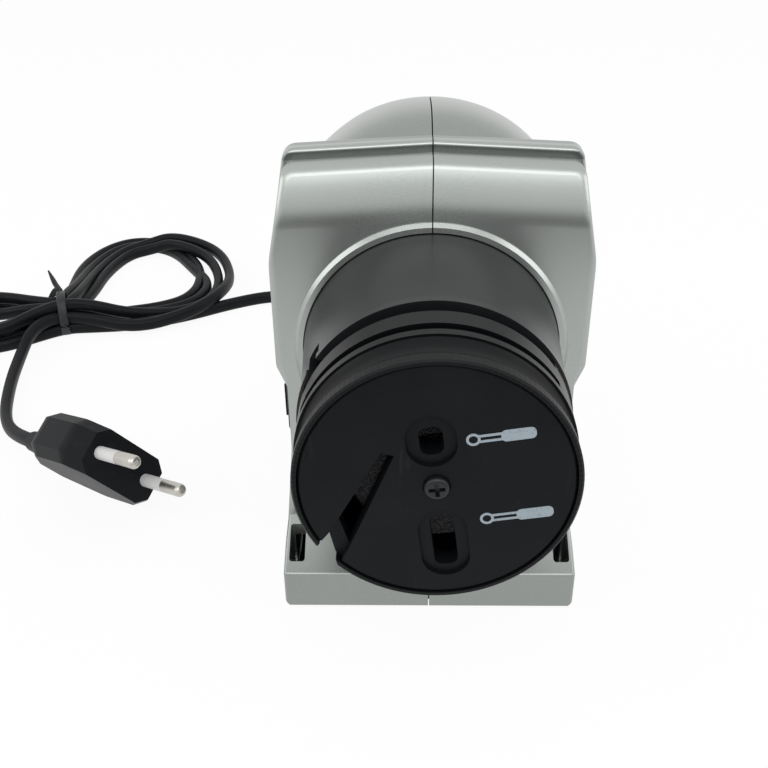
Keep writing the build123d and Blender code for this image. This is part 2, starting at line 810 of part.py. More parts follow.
with BuildPart() as collar:
    revolve(turned([
        (collar_front_depth, collar_bore_radius),
        (collar_front_depth, collar_front_radius + collar_lip_height),
        (collar_front_depth + collar_lip_length, collar_front_radius + collar_lip_height),
        (collar_front_depth + collar_lip_length + collar_lip_height, collar_front_radius),
        (nose_length, collar_rear_radius),
        (flange_depth, collar_rear_radius),
        (flange_depth, collar_flange_radius),
        (flange_depth + collar_flange_thickness, collar_flange_radius),
        (flange_depth + collar_flange_thickness, collar_rear_radius - 1),
        (nose_length + collar_tail, collar_rear_radius - 1),
        (nose_length + collar_tail, collar_rear_bore),
        (web_end, collar_rear_bore),
        (web_end, shaft_radius + 1),
        (bearing_front_end + shaft_seat_clearance, shaft_radius + 1),
        (bearing_front_end + shaft_seat_clearance, bearing_radius + shaft_seat_clearance),
        (bearing_front_depth - bearing_lip, bearing_radius + shaft_seat_clearance),
        (bearing_front_depth - bearing_lip, bearing_boss_radius),
        (web_depth, bearing_boss_radius),
        (web_depth, collar_bore_radius)]), axis=head_axis)
    for angle in lug_angles:
        slot_section = turned([
            (collar_front_depth - 1, collar_bore_radius - 1),
            (collar_front_depth + bayonet_slot_length, collar_bore_radius - 1),
            (collar_front_depth + bayonet_slot_length, collar_rear_radius + 2),
            (collar_front_depth - 1, collar_rear_radius + 2)], start=angle - slot_arc / 2)
        revolve(slot_section, axis=head_axis, revolution_arc=slot_arc, mode=Mode.SUBTRACT)
        track_section = turned([
            (track_front, collar_bore_radius - 1),
            (track_front + bayonet_track_length, collar_bore_radius - 1),
            (track_front + bayonet_track_length, collar_bore_radius + bayonet_track_depth),
            (track_front, collar_bore_radius + bayonet_track_depth)], start=angle - slot_arc / 2)
        revolve(track_section, axis=head_axis, revolution_arc=slot_arc + bayonet_turn, mode=Mode.SUBTRACT)
save(collar.part, "collar")

# ---------------------------------------------------------------- guide head
sleeve_end = collar_front_depth - head_gap
sleeve_radius = head_radius + sleeve_step
disc_back = disc_inset + disc_thickness
slot_outline = [slot_left_top, slot_left_low, slot_window_low, slot_right_top]
floor_outline = [slot_left_low, slot_notch_apex, slot_notch_right, slot_window_low]


def outside(point):
    """The point moved straight out from the axis, past the rim."""
    return (point[0] * slot_notch_reach, point[1] * slot_notch_reach)


notch_outline = [slot_notch_apex, slot_notch_left, outside(slot_notch_left),
                 outside(slot_notch_right), slot_notch_right]


def head_cut(outline, start, end):
    """Cut an outline of the knife slot through the open part, between two depths."""
    with BuildSketch(at_depth(start, head_twist)) as sketch:
        with BuildLine():
            Polyline(*outline, close=True)
        make_face()
    extrude(sketch.sketch, amount=start - end, mode=Mode.SUBTRACT)


def tool_holes(plane):
    """The two rounded tool holes, on a plane of the head."""
    with BuildSketch(plane) as holes:
        with Locations((0, top_hole_centre)):
            RectangleRounded(top_hole_width, top_hole_height, hole_corner_radius)
        with Locations((0, low_hole_centre)):
            RectangleRounded(low_hole_width, low_hole_height, hole_corner_radius)
    return holes.sketch


with BuildPart() as guide_sleeve:
    with BuildSketch(Plane(origin=(0, head_front_y, axis_height), x_dir=(0, 1, 0), z_dir=(1, 0, 0))):
        with BuildLine():
            Polyline((disc_back, sleeve_inner_radius), (disc_back, disc_radius + disc_clearance),
                     (0, disc_radius + disc_clearance), (0, head_radius - rim_edge), (rim_edge, head_radius),
                     (rim_length, head_radius), (rim_length, head_radius - rim_groove))
            ThreePointArc((rim_length, head_radius - rim_groove),
                          ((rim_length + concave_end) / 2, head_radius - concave_dip),
                          (concave_end, head_radius - sleeve_step))
            Polyline((concave_end, head_radius - sleeve_step), (concave_end, sleeve_radius),
                     (sleeve_end, sleeve_radius), (sleeve_end, spigot_radius),
                     (spigot_end_depth, spigot_radius), (spigot_end_depth, sleeve_inner_radius),
                     (disc_back, sleeve_inner_radius))
        make_face()
    revolve(axis=head_axis)
    for start_depth, end_depth in ((ring_two_end, groove_two_end), (ring_one_end, sleeve_end)):
        groove = turned([(start_depth, sleeve_radius - groove_depth),
                         (end_depth, sleeve_radius - groove_depth),
                         (end_depth, sleeve_radius + 2), (start_depth, sleeve_radius + 2)],
                        start=-groove_half_angle - head_twist)
        revolve(groove, axis=head_axis, revolution_arc=2 * groove_half_angle, mode=Mode.SUBTRACT)
    head_cut(notch_outline, -1, slot_notch_depth)
    lug_arc = lug_width / collar_bore_radius * 180 / pi
    lug_front = track_front + (bayonet_track_length - lug_length) / 2
    for angle in lug_angles:
        lug = turned([(lug_front, spigot_radius - 0.5), (lug_front + lug_length, spigot_radius - 0.5),
                      (lug_front + lug_length, spigot_radius + lug_height),
                      (lug_front, spigot_radius + lug_height)], start=angle + unlock_travel - lug_arc / 2)
        revolve(lug, axis=head_axis, revolution_arc=lug_arc)
save(guide_sleeve.part, "guide_sleeve")

with BuildPart() as front_disc:
    with BuildSketch(at_depth(disc_inset, head_twist)):
        Circle(disc_radius)
    extrude(amount=-disc_thickness)
    chamfer(front_disc.edges().group_by(Axis.Y)[0], disc_edge)
    for low, high in ((top_recess_low, top_recess_high), (low_recess_low, low_recess_high)):
        with BuildSketch(at_depth(disc_inset, head_twist)):
            with Locations((0, (low + high) / 2)):
                SlotOverall(high - low, recess_width, rotation=90)
        extrude(amount=-recess_depth, mode=Mode.SUBTRACT)
    with BuildSketch(at_depth(disc_inset, head_twist)):
        Circle(screw_recess_radius)
    extrude(amount=-screw_recess_depth, mode=Mode.SUBTRACT)
    with BuildSketch(at_depth(0, head_twist)):
        Circle(head_screw_shank + screw_hole_clearance)
    extrude(amount=-disc_back, mode=Mode.SUBTRACT)
    extrude(tool_holes(at_depth(0, head_twist)), amount=-disc_back, mode=Mode.SUBTRACT)
    head_cut(slot_outline, 0, disc_back)
    head_cut(floor_outline, 0, disc_inset + slot_floor_depth)
    head_cut(notch_outline, 0, disc_back)
save(front_disc.part, "front_disc")

plate_front = disc_back
plate_back = plate_front + guide_plate_thickness
with BuildPart() as guide_plate:
    with BuildSketch(at_depth(plate_front, head_twist)):
        Circle(guide_plate_radius)
    extrude(amount=-guide_plate_thickness)
    with BuildSketch(at_depth(plate_back, head_twist)):
        Circle(plate_boss_radius)
    extrude(amount=-(wheel_front_depth - guide_plate_gap - plate_back))
    with BuildSketch(at_depth(plate_front, head_twist)):
        Circle(head_screw_shank + running_clearance)
    extrude(amount=-(wheel_front_depth - plate_front), mode=Mode.SUBTRACT)
    extrude(tool_holes(at_depth(plate_front, head_twist)), amount=-guide_plate_thickness,
            mode=Mode.SUBTRACT)
    head_cut(slot_outline, plate_front, plate_back)
save(guide_plate.part, "guide_plate")

head_screw = screw_solid(at_depth(disc_inset + screw_recess_depth, head_twist), head_screw_radius,
                         head_screw_height, head_screw_shank, head_screw_length)
save(head_screw, "head_screw")

with BuildPart() as tool_signs:
    for (x, y), length in sign_places:
        with BuildSketch(at_depth(disc_inset, head_twist)):
            with Locations(Location((x, y), sign_tilt)):
                handle = length * sign_handle_share
                shaft_end = length / 2 - handle
                ring_x = -length / 2 + sign_ring_radius
                with Locations((length / 2 - handle / 2, 0)):
                    RectangleRounded(handle, sign_handle_width, sign_handle_width * 0.4)
                with Locations(((ring_x + shaft_end) / 2, sign_shaft_gap / 2),
                               ((ring_x + shaft_end) / 2, -sign_shaft_gap / 2)):
                    Rectangle(shaft_end - ring_x + 0.4, sign_line_width)
                with Locations((ring_x, 0)):
                    Circle(sign_ring_radius)
                    Circle(sign_ring_radius - sign_line_width, mode=Mode.SUBTRACT)
        extrude(amount=sign_thickness)
save(tool_signs.part, "tool_signs")

# ---------------------------------------------------------------- rotor
seat_radius = shaft_radius + shaft_seat_clearance
wheel_seat_depth = wheel_front_depth + wheel_dish_depth

with BuildPart() as motor_shaft:
    revolve(turned([(shaft_front_depth, 0), (shaft_front_depth, shaft_radius - shaft_edge),
                    (shaft_front_depth + shaft_edge, shaft_radius),
                    (bearing_rear_end + shaft_end, shaft_radius),
                    (bearing_rear_end + shaft_end, 0)]), axis=head_axis)
save(motor_shaft.part, "motor_shaft")

with BuildPart() as grinding_wheel:
    revolve(turned([(wheel_front_depth, wheel_dish_radius), (wheel_front_depth, wheel_radius - wheel_edge),
                    (wheel_front_depth + wheel_edge, wheel_radius), (wheel_back_depth, wheel_radius),
                    (wheel_back_depth, seat_radius), (wheel_seat_depth, seat_radius),
                    (wheel_seat_depth, wheel_dish_radius)]), axis=head_axis)
save(grinding_wheel.part, "grinding_wheel")

with BuildPart() as wheel_hub:
    revolve(turned([(wheel_back_depth, seat_radius), (wheel_back_depth, hub_radius),
                    (wheel_back_depth + hub_thickness, hub_radius),
                    (wheel_back_depth + hub_thickness, hub_radius / 2),
                    (wheel_back_depth + 2 * hub_thickness, hub_radius / 2),
                    (wheel_back_depth + 2 * hub_thickness, seat_radius)]), axis=head_axis)
save(wheel_hub.part, "wheel_hub")

with BuildPart() as wheel_nut:
    with BuildSketch(at_depth(wheel_seat_depth - nut_thickness)):
        RegularPolygon(nut_across_flats / 2, 6, major_radius=False)
        Circle(seat_radius, mode=Mode.SUBTRACT)
    extrude(amount=-nut_thickness)
save(wheel_nut.part, "wheel_nut")

for name, start_depth in (("front_bearing", bearing_front_depth), ("rear_bearing", bearing_rear_depth)):
    end_depth = start_depth + bearing_width
    inner = shaft_radius + running_clearance
    groove_in = inner + bearing_ring
    groove_out = bearing_radius - bearing_ring
    with BuildPart() as bearing:
        revolve(turned([(start_depth, inner), (start_depth, groove_in),
                        (start_depth + bearing_groove, groove_in),
                        (start_depth + bearing_groove, groove_out), (start_depth, groove_out),
                        (start_depth, bearing_radius), (end_depth, bearing_radius), (end_depth, groove_out),
                        (end_depth - bearing_groove, groove_out), (end_depth - bearing_groove, groove_in),
                        (end_depth, groove_in), (end_depth, inner)]), axis=head_axis)
    save(bearing.part, name)

with BuildPart() as cooling_fan:
    revolve(turned_ring(seat_radius, fan_hub_radius, fan_depth, fan_end), axis=head_axis)
    revolve(turned_ring(seat_radius, fan_radius, fan_end - fan_plate, fan_end), axis=head_axis)
    with BuildSketch(at_depth(fan_depth)):
        with PolarLocations((fan_hub_radius + fan_radius) / 2 - 0.5, fan_blades):
            Rectangle(fan_radius - fan_hub_radius, fan_blade_thickness)
    extrude(amount=-(fan_length - fan_plate))
save(cooling_fan.part, "cooling_fan")

with BuildPart() as armature_core:
    with BuildSketch(at_depth(stator_front_depth)):
        Circle(armature_radius)
        with PolarLocations(armature_radius, armature_slots):
            Rectangle(2 * armature_slot_depth, armature_slot_width, mode=Mode.SUBTRACT)
        Circle(seat_radius, mode=Mode.SUBTRACT)
    extrude(amount=-stator_length)
save(armature_core.part, "armature_core")

with BuildPart() as armature_windings:
    for inner_end, outer_end in ((stator_front_depth, winding_front), (stator_rear_depth, winding_rear)):
        shoulder = inner_end + (outer_end - inner_end) * 0.5
        revolve(turned([(inner_end, seat_radius), (inner_end, armature_radius - armature_slot_depth),
                        (shoulder, winding_radius), (outer_end, winding_radius * 0.75),
                        (outer_end, seat_radius)]), axis=head_axis)
save(armature_windings.part, "armature_windings")

with BuildPart() as commutator:
    with BuildSketch(at_depth(commutator_depth)):
        Circle(commutator_radius)
        with PolarLocations(commutator_radius, commutator_bars):
            Rectangle(2 * commutator_groove, commutator_groove, mode=Mode.SUBTRACT)
        Circle(seat_radius, mode=Mode.SUBTRACT)
    extrude(amount=-commutator_length)
save(commutator.part, "commutator")

# ---------------------------------------------------------------- motor, fixed pieces
motor_screw_points = ((motor_screw_x, -motor_screw_z), (-motor_screw_x, motor_screw_z))
brush_depth = commutator_depth + commutator_length / 2
bracket_rear_depth = bearing_rear_end + bracket_seat
bracket_front_depth = bracket_rear_depth - bracket_plate
screw_hole_radius = motor_screw_radius + screw_hole_clearance

with BuildSketch(at_depth(stator_front_depth)) as pole_shoes:
    wedge = 2 * pole_shoe_radius
    gap_slope = tan(radians(90 - pole_shoe_angle))
    Circle(pole_shoe_radius)
    for side in (-1, 1):
        with BuildLine():
            Polyline((0, 0), (side * wedge, wedge * gap_slope), (side * wedge, -wedge * gap_slope),
                     close=True)
        make_face(mode=Mode.SUBTRACT)

with BuildPart() as stator_core:
    with BuildSketch(at_depth(stator_front_depth)):
        RectangleRounded(stator_width, stator_height, stator_corner)
        RectangleRounded(window_width, window_height, stator_corner, mode=Mode.SUBTRACT)
        Rectangle(pole_width, window_height + 2)
        add(pole_shoes.sketch_local)
        Circle(stator_bore_radius, mode=Mode.SUBTRACT)
        with Locations(*motor_screw_points):
            Circle(screw_hole_radius, mode=Mode.SUBTRACT)
    extrude(amount=-stator_length)
save(stator_core.part, "stator_core")

coil_inner = (pole_width + 2 * coil_clearance, stator_length + 2 * coil_clearance)
coil_top = window_height / 2 - screw_hole_clearance
with BuildPart() as field_coils:
    for low in (coil_top - coil_height, -coil_top):
        with BuildSketch(Plane.XY.offset(axis_height + low)):
            with Locations((0, head_front_y + stator_centre_depth)):
                RectangleRounded(coil_inner[0] + 2 * coil_width, coil_inner[1] + 2 * coil_width, coil_width)
                RectangleRounded(*coil_inner, 1, mode=Mode.SUBTRACT)
        extrude(amount=coil_height)
save(field_coils.part, "field_coils")

with BuildPart() as brush_holders:
    for side in (-1, 1):
        mouth = Plane(origin=(side * brush_tube_inner_x, head_front_y + brush_depth, axis_height),
                      x_dir=(0, 1, 0), z_dir=(side, 0, 0))
        with BuildSketch(mouth):
            Rectangle(brush_width + 2 * brush_tube_wall, brush_height + 2 * brush_tube_wall)
        extrude(amount=brush_tube_outer_x - brush_tube_inner_x)
        with BuildSketch(mouth):
            Rectangle(brush_width + 2 * brush_clearance, brush_height + 2 * brush_clearance)
        extrude(amount=brush_tube_outer_x - brush_tube_inner_x - brush_cap, mode=Mode.SUBTRACT)
save(brush_holders.part, "brush_holders")

with BuildPart() as carbon_brushes:
    for side in (-1, 1):
        with BuildSketch(Plane(origin=(side * commutator_radius / 2, head_front_y + brush_depth, axis_height),
                               x_dir=(0, 1, 0), z_dir=(side, 0, 0))):
            Rectangle(brush_width, brush_height)
        extrude(amount=commutator_radius / 2 + brush_length)
    revolve(turned_ring(0, commutator_radius + brush_gap, commutator_depth, commutator_end),
            axis=head_axis, mode=Mode.SUBTRACT)
save(carbon_brushes.part, "carbon_brushes")

spring_start = commutator_radius + brush_length
spring_run = brush_tube_outer_x - brush_cap - spring_start - 2 * brush_spring_wire - brush_clearance
with BuildPart() as brush_springs:
    for side in (-1, 1):
        start = (side * (spring_start + brush_spring_wire + brush_clearance / 2),
                 head_front_y + brush_depth, axis_height)
        with BuildLine() as coil:
            Helix(pitch=spring_run / brush_spring_turns, height=spring_run, radius=brush_spring_radius,
                  center=start, direction=(side, 0, 0))
        with BuildSketch(Plane(origin=coil.line @ 0, z_dir=coil.line % 0)):
            Circle(brush_spring_wire)
        sweep(path=coil.line)
save(brush_springs.part, "brush_springs")

with BuildPart() as rear_bracket:
    with BuildSketch(at_depth(bracket_front_depth)):
        Rectangle(2 * bracket_half_width, 2 * bracket_half_height)
        Circle(bearing_boss_radius)
    extrude(amount=-bracket_plate)
    with BuildSketch(at_depth(stator_rear_depth)):
        with Locations((bracket_half_width - bracket_leg_thickness / 2, 0),
                       (-bracket_half_width + bracket_leg_thickness / 2, 0)):
            Rectangle(bracket_leg_thickness, 2 * bracket_half_height)
    extrude(amount=stator_rear_depth - bracket_rear_depth)
    revolve(turned([(bracket_front_depth - 1, 0), (bearing_rear_end + shaft_seat_clearance, 0),
                    (bearing_rear_end + shaft_seat_clearance, bearing_radius + shaft_seat_clearance),
                    (bracket_front_depth - 1, bearing_radius + shaft_seat_clearance)]),
            axis=head_axis, mode=Mode.SUBTRACT)
    revolve(turned_ring(0, bearing_radius - bearing_ring, bracket_front_depth, bracket_rear_depth + 1),
            axis=head_axis, mode=Mode.SUBTRACT)
    with BuildSketch(Plane.YZ.offset(-2 * bracket_half_width)):
        with Locations((head_front_y + brush_depth, axis_height)):
            Rectangle(brush_width + 2 * brush_tube_wall + brush_clearance,
                      brush_height + 2 * brush_tube_wall + brush_clearance)
    extrude(amount=4 * bracket_half_width, mode=Mode.SUBTRACT)
    with BuildSketch(at_depth(stator_rear_depth)):
        with Locations(*motor_screw_points):
            Circle(screw_hole_radius)
    extrude(amount=stator_rear_depth - bracket_rear_depth, mode=Mode.SUBTRACT)
    with BuildSketch(at_depth(bracket_rear_depth)):
        with Locations(*motor_screw_points):
            Circle(motor_screw_head_radius + screw_hole_clearance)
    extrude(amount=motor_screw_head_height, mode=Mode.SUBTRACT)
    with BuildSketch(Plane.XY.offset(axis_height - bracket_half_height)):
        for side in (-1, 1):
            corner = (side * bracket_half_width, head_front_y + bracket_rear_depth)
            with BuildLine():
                Polyline(corner, (corner[0] - side * bracket_corner, corner[1]),
                         (corner[0], corner[1] - bracket_corner), close=True)
            make_face()
    extrude(amount=2 * bracket_half_height, mode=Mode.SUBTRACT)
save(rear_bracket.part, "rear_bracket")

with BuildPart() as motor_screws:
    for x, z in motor_screw_points:
        seat = Plane(origin=(x, head_front_y + bracket_rear_depth - motor_screw_head_height, axis_height + z),
                     x_dir=(1, 0, 0), z_dir=(0, 1, 0))
        add(screw_solid(seat, motor_screw_head_radius, motor_screw_head_height - 0.1, motor_screw_radius,
                        bracket_rear_depth - motor_screw_head_height - stator_front_depth
                        + motor_nut_thickness + 0.5))
save(motor_screws.part, "motor_screws")

with BuildPart() as motor_nuts:
    with BuildSketch(at_depth(stator_front_depth)):
        with Locations(*motor_screw_points):
            RegularPolygon(motor_nut_across_flats / 2, 6, major_radius=False)
            Circle(motor_screw_radius + shaft_seat_clearance, mode=Mode.SUBTRACT)
    extrude(amount=motor_nut_thickness)
save(motor_nuts.part, "motor_nuts")

# ---------------------------------------------------------------- rocker switch
switch_y = head_front_y + switch_depth
bezel_outer_x = -(neck_half_width + bezel_seat_gap + bezel_thickness)
pivot_x = bezel_outer_x + rocker_pivot_inset


def switch_plane(x):
    """Plane facing the left side: local x runs to the rear, local y up, at an X place."""
    return Plane(origin=(x, switch_y, switch_height), x_dir=(0, 1, 0), z_dir=(1, 0, 0))


with BuildPart() as switch_frame:
    with BuildSketch(switch_plane(bezel_outer_x)):
        RectangleRounded(switch_cutout_length + 2 * bezel_overlap,
                         switch_cutout_height + 2 * bezel_overlap, 1.5)
    extrude(amount=bezel_thickness)
    fillet(switch_frame.edges().group_by(Axis.X)[0], bezel_thickness * 0.5)
    with BuildSketch(switch_plane(bezel_outer_x + bezel_thickness)):
        Rectangle(switch_cutout_length - 2 * switch_fit, switch_cutout_height - 2 * switch_fit)
    extrude(amount=switch_frame_depth)
    with BuildSketch(switch_plane(bezel_outer_x)):
        Rectangle(2 * (rocker_reach + rocker_clearance), rocker_height + 2 * rocker_clearance)
    extrude(amount=rocker_pocket_depth, mode=Mode.SUBTRACT)
    with BuildSketch(Plane.XY.offset(switch_height)):
        with Locations((pivot_x, switch_y)):
            Circle(rocker_pin_radius + running_clearance)
    extrude(amount=rocker_pin_span / 2 + running_clearance, both=True, mode=Mode.SUBTRACT)
save(switch_frame.part, "switch_frame")

with BuildPart() as rocker:
    lean = Plane(origin=(pivot_x, switch_y, switch_height),
                 x_dir=(sin(radians(rocker_tilt)), cos(radians(rocker_tilt)), 0), z_dir=(0, 0, 1))
    with BuildSketch(lean):
        with BuildLine():
            Polyline((-rocker_half_length, rocker_end_rise), (-rocker_foot_half_length, -rocker_foot),
                     (rocker_foot_half_length, -rocker_foot), (rocker_half_length, rocker_end_rise))
            ThreePointArc((rocker_half_length, rocker_end_rise), (0, rocker_mid_rise),
                          (-rocker_half_length, rocker_end_rise))
        make_face()
    extrude(amount=rocker_height / 2, both=True)
    with BuildSketch(Plane.XY.offset(switch_height)):
        with Locations((pivot_x, switch_y)):
            Circle(rocker_pin_radius)
    extrude(amount=rocker_pin_span / 2, both=True)
save(rocker.part, "rocker")

frame_back_x = bezel_outer_x + bezel_thickness + switch_frame_depth
with BuildPart() as switch_terminals:
    with BuildSketch(switch_plane(frame_back_x)):
        with Locations((terminal_pitch / 2, 0), (-terminal_pitch / 2, 0)):
            Rectangle(terminal_thickness, terminal_height)
    extrude(amount=terminal_length)
save(switch_terminals.part, "switch_terminals")

# ---------------------------------------------------------------- wiring
block_y = head_front_y + block_depth
block_top = floor_top + block_height
block_points = [(sx * block_pitch_x / 2, block_y + sy * block_pitch_y / 2)
                for sx in (-1, 1) for sy in (-1, 1)]

with BuildPart() as terminal_block:
    with BuildSketch(Plane.XY.offset(floor_top)):
        with Locations((0, block_y)):
            Rectangle(block_width, block_length)
    extrude(amount=block_height)
    fillet(terminal_block.edges().filter_by(Axis.Z), 1.5)
    with BuildSketch(Plane.XY.offset(block_top)):
        with Locations(*block_points):
            Circle(block_well_radius)
    extrude(amount=-block_well_depth, mode=Mode.SUBTRACT)
save(terminal_block.part, "terminal_block")

with BuildPart() as block_screws:
    for x, y in block_points:
        seat = Plane(origin=(x, y, block_top - block_well_depth), x_dir=(1, 0, 0), z_dir=(0, 0, 1))
        with BuildSketch(seat):
            Circle(block_well_radius - screw_hole_clearance)
        extrude(amount=block_screw_height)
        with BuildSketch(seat.offset(block_screw_height)):
            Rectangle(2 * block_well_radius, screw_hole_radius / 2)
        extrude(amount=-block_screw_height / 2, mode=Mode.SUBTRACT)
save(block_screws.part, "block_screws")

with BuildPart() as capacitor:
    with BuildSketch(Plane.XY.offset(floor_top)):
        with Locations((capacitor_x, head_front_y + capacitor_depth)):
            Rectangle(capacitor_size[0], capacitor_size[1])
    extrude(amount=capacitor_size[2])
    fillet(capacitor.edges().group_by(Axis.Z)[-1] + capacitor.edges().filter_by(Axis.Z), capacitor_edge)
save(capacitor.part, "capacitor")


def tube(points, radius, bends):
    """Round tube along straight runs joined by tangent arcs, one radius for each corner."""
    with BuildPart() as piece:
        with BuildLine() as path:
            FilletPolyline(*points, radius=bends)
        with BuildSketch(Plane(origin=path.line @ 0, z_dir=path.line % 0)):
            Circle(radius)
        sweep(path=path.line)
    return piece.part


def from_head(points, side=1):
    """Points given as (X, depth, Z) turned into (X, Y, Z), mirrored for the other side."""
    return [(side * x, head_front_y + depth, z) for x, depth, z in points]


terminal_x = frame_back_x + terminal_length / 2
block_lead_z = floor_top + 5.5
live_depth = switch_depth + terminal_pitch / 2
return_depth = switch_depth - terminal_pitch / 2
brush_lead_x = brush_tube_outer_x + lead_radius
switch_lead = ((-5.5, block_depth - 5, block_lead_z), (-5.5, block_depth - 20, block_lead_z),
               (-12.0, live_depth + 6, 12.0), (-13.0, live_depth + 1, 24.0), (-13.0, live_depth, 40.0),
               (-14.0, live_depth, switch_height), (terminal_x, live_depth, switch_height))
return_lead = ((-9.0, block_depth - 5, block_lead_z - 1.3), (-9.0, block_depth - 22, block_lead_z - 1.3),
               (-15.0, return_depth + 11, 11.0), (-17.0, return_depth + 6, 20.0),
               (-17.0, return_depth + 3.5, 36.0), (-14.5, return_depth + 1, 46.0),
               (-14.5, return_depth, switch_height), (terminal_x, return_depth, switch_height))
brush_lead = ((7.5, block_depth + 6, block_lead_z), (7.5, block_depth + 13, block_lead_z),
              (14.0, brush_depth + 1.5, 16.0), (27.0, brush_depth, 27.0),
              (brush_lead_x, brush_depth, 42.0), (brush_lead_x, brush_depth, axis_height - 2))

with BuildPart() as lead_wires:
    for points in (from_head(switch_lead), from_head(return_lead), from_head(brush_lead),
                   from_head(brush_lead, -1)):
        add(tube(points, lead_radius, [lead_bend] * (len(points) - 2)))
    add(terminal_block.part, mode=Mode.SUBTRACT)
    add(switch_terminals.part, mode=Mode.SUBTRACT)
save(lead_wires.part, "lead_wires")

clamp_y = head_front_y + clamp_depth
clamp_top = cord_exit_height + cord_radius + clamp_thickness
with BuildPart() as cord_clamp:
    with BuildSketch(Plane.XY.offset(floor_top)):
        with Locations((0, clamp_y)):
            Rectangle(clamp_width, clamp_length)
    extrude(amount=clamp_top - floor_top)
    with BuildSketch(Plane.XY.offset(cord_exit_height - clamp_gap / 2)):
        with Locations((0, clamp_y)):
            Rectangle(clamp_width, clamp_length)
    extrude(amount=clamp_gap, mode=Mode.SUBTRACT)
    with BuildSketch(cross(clamp_y - clamp_length)):
        with Locations((0, cord_exit_height)):
            Circle(cord_radius + running_clearance)
    extrude(amount=-2 * clamp_length, mode=Mode.SUBTRACT)
    with BuildSketch(Plane.XY.offset(clamp_top)):
        with Locations((clamp_screw_x, clamp_y), (-clamp_screw_x, clamp_y)):
            Circle(clamp_screw_radius + running_clearance)
    extrude(amount=-clamp_screw_length - 1, mode=Mode.SUBTRACT)
save(cord_clamp.part, "cord_clamp")

with BuildPart() as clamp_screws:
    for side in (-1, 1):
        seat = Plane(origin=(side * clamp_screw_x, clamp_y, clamp_top), x_dir=(1, 0, 0), z_dir=(0, 0, 1))
        add(screw_solid(seat, clamp_screw_head_radius, clamp_screw_head_height, clamp_screw_radius,
                        clamp_screw_length))
save(clamp_screws.part, "clamp_screws")

inner_rear_y = rear_y - wall
tail_end_y = inner_rear_y - grip_flange_thickness
with BuildPart() as cord_grip:
    with BuildSketch(cross(tail_end_y)):
        with Locations((0, cord_exit_height)):
            Circle(grip_flange_radius)
    extrude(amount=-grip_flange_thickness)
    with BuildSketch(cross(inner_rear_y)):
        with Locations((0, cord_exit_height)):
            Circle(grip_neck_radius)
    extrude(amount=-wall)
    boot_plane = Plane(origin=(0, rear_y, cord_exit_height), x_dir=(0, 1, 0), z_dir=(1, 0, 0))
    with BuildSketch(boot_plane):
        with BuildLine():
            Polyline((0, 0), (0, grip_outer_radius), (grip_collar, grip_outer_radius),
                     (grip_length, grip_tip_radius), (grip_length, 0), close=True)
        make_face()
    revolve(axis=Axis((0, rear_y, cord_exit_height), (0, 1, 0)))
save(cord_grip.part, "cord_grip")

with BuildPart() as cord_tail:
    with BuildSketch(cross(block_y + block_length / 2)):
        with Locations((0, cord_exit_height)):
            Circle(cord_radius)
    extrude(amount=-(tail_end_y - block_y - block_length / 2))
save(cord_tail.part, "cord_tail")

# ---------------------------------------------------------------- free cord, hank and plug
pin_direction = Vector(*plug_pin_axis).normalized()
flat_direction = pin_direction.cross(Vector(*plug_across)).normalized()
across_direction = flat_direction.cross(pin_direction)
plug_origin = Vector(*plug_centre)
boot_end = plug_origin + pin_direction * (plug_back - plug_boot_length)
lead_route = [tuple(boot_end), tuple(boot_end - pin_direction * lead_first_run)] + list(lead_route_end)


def easy_bends(points):
    """Largest comfortable radius at each corner of a route of the free cord."""
    radii = []
    for before, here, after in zip(points, points[1:], points[2:]):
        run_in = Vector(*here) - Vector(*before)
        run_out = Vector(*after) - Vector(*here)
        half_turn = radians(run_in.get_angle(run_out)) / 2
        radii.append(bend_share * min(run_in.length, run_out.length) / tan(half_turn))
    return radii


def outline_face(points, radius):
    """Closed outline with every corner rounded."""
    with BuildSketch(Plane.XY.offset(hank_bottom)) as section:
        with BuildLine():
            Polyline(*points, close=True)
        make_face()
        fillet(section.vertices(), radius)
    return section.sketch


with BuildPart() as cord_hank:
    extrude(outline_face(hank_outline, hank_edge), amount=hank_height)
    for hole in (hank_hole, hank_small_hole):
        extrude(outline_face(hole, hank_edge), amount=hank_height, mode=Mode.SUBTRACT)
save(cord_hank.part, "cord_hank")

tie_plane = Plane(origin=(*tie_centre, hank_bottom + hank_height / 2),
                  x_dir=(-sin(radians(tie_angle)), cos(radians(tie_angle)), 0),
                  z_dir=(cos(radians(tie_angle)), sin(radians(tie_angle)), 0))
with BuildPart() as twist_tie:
    with BuildSketch(tie_plane):
        Rectangle(2 * (tie_reach + tie_thickness), hank_height + 2 * (tie_clearance + tie_thickness))
        Rectangle(2 * tie_reach, hank_height + 2 * tie_clearance, mode=Mode.SUBTRACT)
    extrude(amount=tie_width / 2, both=True)
save(twist_tie.part, "twist_tie")

with BuildPart() as power_cord:
    add(tube(cord_route, cord_radius, easy_bends(cord_route)))
    add(cord_hank.part, mode=Mode.SUBTRACT)
save(power_cord.part, "power_cord")
print("power_cord bends", [round(radius) for radius in easy_bends(cord_route)])

with BuildPart() as plug_lead:
    add(tube(lead_route, cord_radius, easy_bends(lead_route)))
    add(cord_hank.part, mode=Mode.SUBTRACT)
save(plug_lead.part, "plug_lead")
print("plug_lead bends", [round(radius) for radius in easy_bends(lead_route)])

